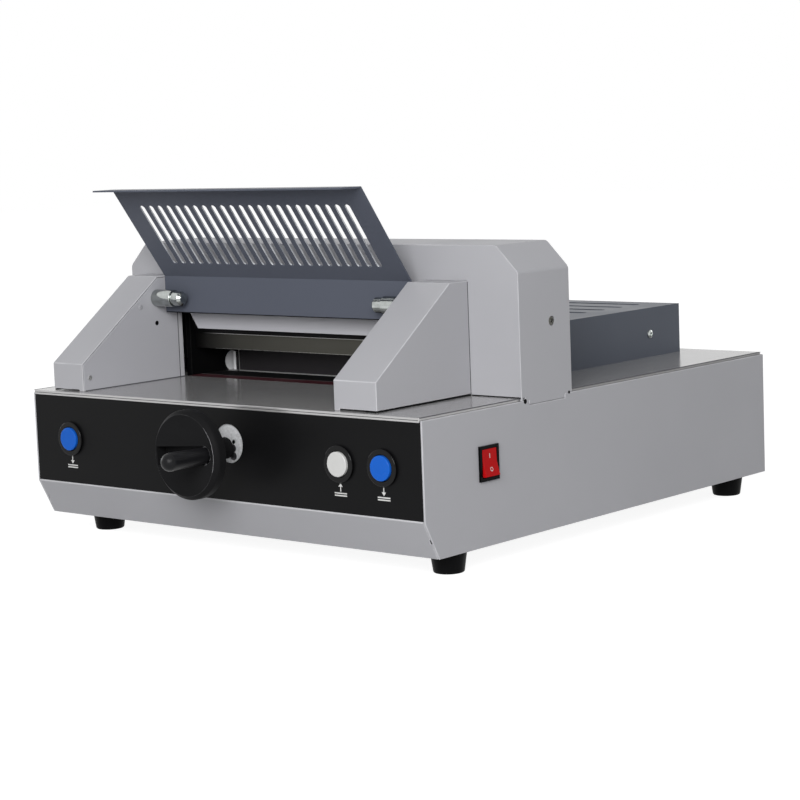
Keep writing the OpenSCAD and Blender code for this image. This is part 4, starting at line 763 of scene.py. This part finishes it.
cheekScrew = {"low": (18.8, 13.1), "high": (94.1, 79.0), "radius": 2.7, "height": 0.7, "turn": 0.5}
for name, key, slot in (("cheekScrews", "low", "zinc_steel"), ("paintedScrews", "high", "painted_grey")):
    back, up = cheekScrew[key]
    rows = [((x, panelFace + back, tableTop + up), (way, 0, 0), cheekScrew["turn"] + back)
            for x, way in innerPanels]
    screws(name, slot, cheekScrew["radius"], cheekScrew["height"], rows)

plateScrew = {"places": ((23.9, -50.6), (23.4, -43.0)), "radius": 4.0, "height": 2.0, "turn": 0.6}
rows = [((middle + x, plateFace, tableTop + up), (0, -1, 0), plateScrew["turn"] + x)
        for x, up in plateScrew["places"]]
screws("plateScrews", "black_screw", plateScrew["radius"], plateScrew["height"], rows)
print("screws placed")

# printed marks, and holes drawn as black discs of painted shade; a plane is (across, up, outward)
upward = Vector((0, 0, 1))
toFront = (Vector((1, 0, 0)), upward, Vector((0, -1, 0)))
toRight = (Vector((0, 1, 0)), upward, Vector((1, 0, 0)))
toLeft = (Vector((0, -1, 0)), upward, Vector((-1, 0, 0)))


def flatShapes(name, body, finish, depth, outlines):
    # thin closed prints from rows of (middle, plane, points), in millimetres
    bm = bmesh.new()
    for centre, (across, up, outward), points in outlines:
        face = bm.faces.new([bm.verts.new((centre + across * x + up * z) * mm) for x, z in points])
        made = bmesh.ops.extrude_face_region(bm, geom=[face])
        moved = [item for item in made["geom"] if isinstance(item, bmesh.types.BMVert)]
        bmesh.ops.translate(bm, verts=moved, vec=outward * (depth * mm))
    bmesh.ops.recalc_face_normals(bm, faces=bm.faces)
    return settle(newPiece(name, meshFrom(bm, name, finish)), body)


def bar(x0, z0, x1, z1):
    return [(x0, z0), (x1, z0), (x1, z1), (x0, z1)]


def arrow(tail, tip, shaft, head, slope):
    way = 1 if tip > tail else -1
    neck = tip - way * head * slope
    half = shaft / 2
    points = [(-half, tail), (-half, neck), (-head, neck), (0, tip),
              (head, neck), (half, neck), (half, tail)]
    return points[::way]


def circle(radius, count=28):
    turns = [math.tau * index / count for index in range(count)]
    return [(radius * math.cos(turn), radius * math.sin(turn)) for turn in turns]


def ring(radius, width):
    # a ring as a row of small four-sided prints
    outer = circle(radius)
    inner = circle(radius - width)
    return [[outer[i - 1], outer[i], inner[i], inner[i - 1]] for i in range(len(outer))]


panelMark = {"drop": 28.0, "half": 7.5, "line": 1.2, "gap": 2.2, "far": 10.1, "shaft": 1.1, "head": 2.6,
             "slope": 1.3, "depth": 0.08}
outlines = []
for node, down in (("button_left", True), ("button_white", False), ("button_right", True)):
    low, high = mmBox(node)
    below = Vector(((low.x + high.x) / 2, panelFace, (low.z + high.z) / 2 - panelMark["drop"]))
    for foot in (0.0, -panelMark["gap"]):
        line = bar(-panelMark["half"], foot, panelMark["half"], foot + panelMark["line"])
        outlines.append((below, toFront, line))
    tail, tip = sorted((panelMark["gap"], panelMark["far"]), reverse=down)
    points = arrow(tail, tip, panelMark["shaft"], panelMark["head"], panelMark["slope"])
    outlines.append((below, toFront, points))
flatShapes("panelMarks", "chassis", "white_print", panelMark["depth"], outlines)

rockerMark = {"bar": (0.45, 2.2), "ring": (2.0, 0.6), "depth": 0.05, "facing": 0.6}


def rockerFace(upper):
    # middle and plane of one of the two outer faces of the rocker
    low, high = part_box("rocker")
    level = (low.z + high.z) / 2
    found = [face for face in frame["nodes"]["rocker"].data.polygons
             if face.normal.x > rockerMark["facing"] and (face.center.z > level) == upper]
    area = sum(face.area for face in found)
    centre = sum((face.center * face.area for face in found), Vector()) / area
    normal = sum((face.normal * face.area for face in found), Vector()).normalized()
    across = Vector((0, 1, 0))
    return centre / mm, (across, normal.cross(across), normal)


wide, tall = rockerMark["bar"]
outlines = [(*rockerFace(True), bar(-wide, -tall, wide, tall))]
outlines += [(*rockerFace(False), points) for points in ring(*rockerMark["ring"])]
flatShapes("rockerMarks", bodyOfNode["rocker"], "white_print", rockerMark["depth"], outlines)

# painted shade: black discs for the small holes in the cheek panels and the bearing plate
smallHole = {"cheek": (116.1, 60.5), "cheekRadius": 2.5, "plate": (24.5, -37.0), "plateRadius": 1.9,
             "depth": 0.05}
outlines = []
back, up = smallHole["cheek"]
for x, way in innerPanels:
    centre = Vector((x, panelFace + back, tableTop + up))
    outlines.append((centre, toRight if way > 0 else toLeft, circle(smallHole["cheekRadius"])))
x, up = smallHole["plate"]
outlines.append((Vector((middle + x, plateFace, tableTop + up)), toFront, circle(smallHole["plateRadius"])))
flatShapes("smallHoles", "chassis", "black_gap", smallHole["depth"], outlines)


# thin strips, seams and gap lines, in millimetres
def strips(name, body, finish, boxes):
    # thin closed bars between pairs of corners
    bm = bmesh.new()
    for low, high in boxes:
        low = Vector(low) * mm
        high = Vector(high) * mm
        made = bmesh.ops.create_cube(bm, size=1.0)["verts"]
        bmesh.ops.scale(bm, vec=high - low, verts=made)
        bmesh.ops.translate(bm, vec=(low + high) / 2, verts=made)
    return settle(newPiece(name, meshFrom(bm, name, finish)), body)


gaugeTrim = {"lap": 0.5, "reach": 8.2, "gap": 4.6, "thick": 2.0, "top": 21.0, "above": 0.15, "proud": 0.15,
             "under": 1.5, "width": 0.9, "sunk": 0.5, "short": 1.0}
gaugeLow, gaugeHigh = mmBox("back_gauge")
gaugeBody = bodyOfNode["back_gauge"]
foot = gaugeLow.z + gaugeTrim["lap"]
lipLeft = gaugeLow.x - gaugeTrim["reach"]
lipRight = gaugeLow.x - gaugeTrim["gap"]
for name, slot, finish, left, right in (("gaugeLip", "zinc_steel", "sight_white", lipLeft, lipRight),
                                        ("gaugeSide", "panel_black", "gauge_black", lipRight, gaugeLow.x)):
    strips(name, gaugeBody, finish, [
        ((left, gaugeLow.y, foot), (right, gaugeLow.y + gaugeTrim["thick"], tableTop + gaugeTrim["top"]))])
front = gaugeLow.y - gaugeTrim["proud"]
strips("gaugeEdges", gaugeBody, "zinc_steel", [
    ((gaugeLow.x, front, tableTop + gaugeTrim["above"]),
     (gaugeHigh.x, gaugeLow.y + gaugeTrim["under"], foot)),
    ((gaugeLow.x, front, foot),
     (gaugeLow.x + gaugeTrim["width"], gaugeLow.y + gaugeTrim["sunk"], gaugeHigh.z - gaugeTrim["short"]))])

clampLine = {"start": 30.0, "low": 0.3, "high": 0.9, "proud": 0.06, "sunk": 0.5}
clampLow, clampHigh = mmBox("clamp_bar")
strips("clampLine", bodyOfNode["clamp_bar"], "dull_screw", [
    ((clampLow.x + clampLine["start"], clampLow.y - clampLine["proud"], clampLow.z + clampLine["low"]),
     (clampHigh.x, clampLow.y + clampLine["sunk"], clampLow.z + clampLine["high"]))])

# painted reflection: a black sheet on the rear table between the stick and the gauge, for the dark gauge
# mirrored in the table
bedStrip = {"gap": 0.8, "thick": 0.1}
stickLow, stickHigh = mmBox("cutting_stick")
strips("bedStrip", "chassis", "black_gap", [
    ((stickLow.x, stickHigh.y + bedStrip["gap"], tableTop),
     (stickHigh.x, gaugeLow.y - bedStrip["gap"], tableTop + bedStrip["thick"]))])

tableSeam = {"height": 0.5, "proud": 0.04, "inset": 1.0, "sunk": 0.5}
level = (tableLow.z + tableHigh.z) / 2
half = tableSeam["height"] / 2
strips("tableSeam", "chassis", "black_gap", [
    ((tableLow.x + tableSeam["inset"], tableLow.y - tableSeam["proud"], level - half),
     (tableHigh.x - tableSeam["inset"], tableLow.y + tableSeam["sunk"], level + half))])

sideSeam = {"lap": 0.9, "edge": 0.7, "proud": 0.04, "inset": 1.0, "sunk": 0.3}
rearEnd = mmBox("rear_table")[1].y - sideSeam["inset"]
low = tableTop - sideSeam["sunk"]
high = tableTop + sideSeam["proud"]
rows = []
for front, back in ((tableLow.y + sideSeam["inset"], bridgeLow.y), (bridgeHigh.y, rearEnd)):
    for left, right in ((tableHigh.x - sideSeam["lap"], wallRight - sideSeam["edge"]),
                        (wallLeft + sideSeam["edge"], tableLow.x + sideSeam["lap"])):
        rows.append(((left, front, low), (right, back, high)))
strips("sideSeams", "chassis", "seam_grey", rows)

cheekTrim = {"seam": 1.0, "proud": 0.05, "sunk": 0.3, "inset": 1.0, "short": 0.8, "foot": 1.0, "share": 0.28,
             "gap": 0.5}
proud, sunk, inset, short = (cheekTrim[key] for key in ("proud", "sunk", "inset", "short"))
seamAndShadeRows = []
# black strips of painted shadow under the outer foot of each cheek, and along the foot of the bridge front
# beside it
shadowLineRows = []
for node, bridgeSide, way in (("left_cheek", bridgeLow.x, -1), ("right_cheek", bridgeHigh.x, 1)):
    low, high = mmBox(node)
    outer = high.x if way > 0 else low.x
    left, right = sorted((outer - way * sunk, outer + way * proud))
    seam = high.y - cheekTrim["seam"]
    top = low.z + cheekTrim["foot"]
    seamAndShadeRows.append(((left, seam, tableTop + inset), (right, high.y, high.z - short)))
    seamAndShadeRows.append(((low.x + short, seam, high.z - sunk), (high.x - short, high.y, high.z + proud)))
    shadowLineRows.append(((left, low.y + inset, low.z), (right, high.y, top)))
    if way > 0:  # the painted shadow of the gap also runs under the front of the right cheek
        inner = outer - (high.x - low.x) * cheekTrim["share"]
        shadowLineRows.append(((inner, low.y - proud, low.z), (outer - inset, low.y + sunk, top)))
    left, right = sorted((outer + way * cheekTrim["gap"], bridgeSide - way * short))
    shadowLineRows.append(((left, bridgeLow.y - proud, tableTop), (right, bridgeLow.y + sunk, top)))
strips("cheekFeet", "chassis", "black_gap", shadowLineRows)

linerSeam = {"sunk": 0.2, "above": 0.5, "inset": 1.0, "foot": 0.8}
linerLow, linerHigh = mmBox("throat_liners")
panelFront = mmBox("left_cheek_panel")[0].y + linerSeam["inset"]
half = cheekTrim["seam"] / 2
for inner, way in innerPanels:
    left, right = sorted((inner - way * linerSeam["sunk"], inner + way * proud))
    seamAndShadeRows.append(((left, linerLow.y - half, tableTop + linerSeam["above"]),
                     (right, linerLow.y + half, linerHigh.z)))
    # painted shade: a dark line along the foot of each inner panel, where it meets the table
    seamAndShadeRows.append(((left, panelFront, tableTop), (right, linerHigh.y, tableTop + linerSeam["foot"])))
strips("cheekSeams", "chassis", "seam_grey", seamAndShadeRows)

# painted shadow: a black line along the bottom edge of the guard, where the guard shades the knife carrier
# behind it
guardHem = {"sheet": 1.6, "proud": 0.05, "height": 1.0, "inset": 0.5, "sunk": 0.5}
shadowLineFront = guardHigh.y - guardHem["sheet"] - guardHem["proud"]
strips("guardHem", bodyOfNode["guard"], "black_gap", [
    ((guardLow.x + guardHem["inset"], shadowLineFront, guardLow.z),
     (guardHigh.x - guardHem["inset"], shadowLineFront + guardHem["sunk"], guardLow.z + guardHem["height"]))])

# painted highlight: a thin strip along the foot of the panel, lighter than the grey paint, for the lit edge
# of the lip
panelBead = {"height": 1.2, "below": 0.2, "proud": 0.15, "sunk": 0.3}
strips("panelBead", "chassis", "bead_paint", [
    ((frontLow.x, panelFace - panelBead["proud"], frontLow.z - panelBead["below"]),
     (frontHigh.x, panelFace + panelBead["sunk"], frontLow.z + panelBead["height"]))])

# painted shade: black discs for the relief holes at the corner of the right wall
cornerHole = {"places": ((152.1, -3.3, 2.4), (221.6, -2.5, 1.6)), "depth": 0.04}  # back, up and radius
outlines = [(Vector((wallRight, panelFace + back, tableTop + up)), toRight, circle(radius))
            for back, up, radius in cornerHole["places"]]
flatShapes("cornerHoles", "chassis", "black_gap", cornerHole["depth"], outlines)
print("marks and strips placed")


# camera, floor and light
def camera():
    # the place is in millimetres from the middle of the panel's face, level with the table
    view = {"place": (1528.09, -1500.90, 262.09), "azimuth": 40.556, "elevation": 6.914, "roll": -2.174,
            "focal": 2233.81, "image": 800.0, "centre": (404.186, 391.987), "sensor": 36.0, "far": 50.0}
    around = math.radians(view["azimuth"])
    above = math.radians(view["elevation"])
    back = Vector((math.sin(around) * math.cos(above), -math.cos(around) * math.cos(above), math.sin(above)))
    data = bpy.data.cameras.new("viewCamera")
    eye = bpy.data.objects.new("viewCamera", data)
    bpy.context.scene.collection.objects.link(eye)
    eye.rotation_mode = "QUATERNION"
    eye.location = (Vector((middle, panelFace, tableTop)) + Vector(view["place"])) * mm
    turn = Quaternion((0, 0, 1), math.radians(view["roll"]))
    eye.rotation_quaternion = (-back).to_track_quat("-Z", "Y") @ turn
    data.sensor_width = view["sensor"]
    data.lens = view["focal"] / view["image"] * view["sensor"]
    data.shift_x = (view["image"] / 2 - view["centre"][0]) / view["image"]
    data.shift_y = (view["centre"][1] - view["image"] / 2) / view["image"]
    data.clip_end = view["far"]
    bpy.context.scene.camera = eye


def seenRays(tree):
    # the rays that show a surface, as against those that light it
    rays = put(tree, "ShaderNodeLightPath").outputs
    mirrored = maths(tree, "MAXIMUM", rays["Is Glossy Ray"], rays["Is Transmission Ray"])
    return maths(tree, "MAXIMUM", rays["Is Camera Ray"], mirrored)


def floor():
    pale = {"half": 8.0, "grey": (0.5, 0.5, 0.5, 1.0), "shown": 0.36, "glow": 2.5}
    half = pale["half"]
    mesh = bpy.data.meshes.new("paleFloor")
    corners = [(-half, -half, 0), (half, -half, 0), (half, half, 0), (-half, half, 0)]
    mesh.from_pydata(corners, [], [(0, 1, 2, 3)])
    made = bpy.data.materials.new("paleFloor")
    made.use_nodes = True
    tree = made.node_tree
    tree.nodes.clear()
    matt = put(tree, "ShaderNodeBsdfDiffuse", {"Color": pale["grey"]}).outputs[0]
    glow = put(tree, "ShaderNodeEmission", {"Color": white, "Strength": pale["glow"]}).outputs[0]
    share = times(tree, seenRays(tree), pale["shown"])
    both = put(tree, "ShaderNodeMixShader", {0: share, 1: matt, 2: glow}).outputs[0]
    put(tree, "ShaderNodeOutputMaterial", {"Surface": both})
    mesh.materials.append(made)
    newPiece("paleFloor", mesh)


def surroundings():
    room = {"tint": (0.97, 0.98, 1.0, 1.0), "ambient": 0.34}
    world = bpy.data.worlds.new("paleRoom")
    bpy.context.scene.world = world
    world.use_nodes = True
    tree = world.node_tree
    tree.nodes.clear()
    shown = put(tree, "ShaderNodeBackground", {"Color": white, "Strength": 1.0}).outputs[0]
    lit = put(tree, "ShaderNodeBackground", {"Color": room["tint"], "Strength": room["ambient"]}).outputs[0]
    both = put(tree, "ShaderNodeMixShader", {0: seenRays(tree), 1: lit, 2: shown}).outputs[0]
    put(tree, "ShaderNodeOutputWorld", {"Surface": both})


lampAim = (0.0, 0.0, 0.15)
lamps = {  # place and size in metres, power in watts
    "keyBox": {"place": (1.5, -2.35, 1.25), "size": (1.8, 1.3), "watts": 72.0},
    "leftFill": {"place": (-3.0, -0.2, 0.7), "size": (1.6, 1.0), "watts": 14.0},
    "backFill": {"place": (0.2, 3.1, 0.7), "size": (1.6, 1.0), "watts": 14.0},
}


def softbox(name, place, size, watts):
    data = bpy.data.lights.new(name, "AREA")
    data.shape = "RECTANGLE"
    data.size, data.size_y = size
    data.energy = watts
    lamp = bpy.data.objects.new(name, data)
    bpy.context.scene.collection.objects.link(lamp)
    lamp.rotation_mode = "QUATERNION"
    lamp.location = place
    lamp.rotation_quaternion = (Vector(lampAim) - Vector(place)).to_track_quat("-Z", "Y")


camera()
floor()
surroundings()
for name, lamp in lamps.items():
    softbox(name, **lamp)
bpy.context.scene.view_settings.view_transform = "Standard"
print("camera, floor and lights set")
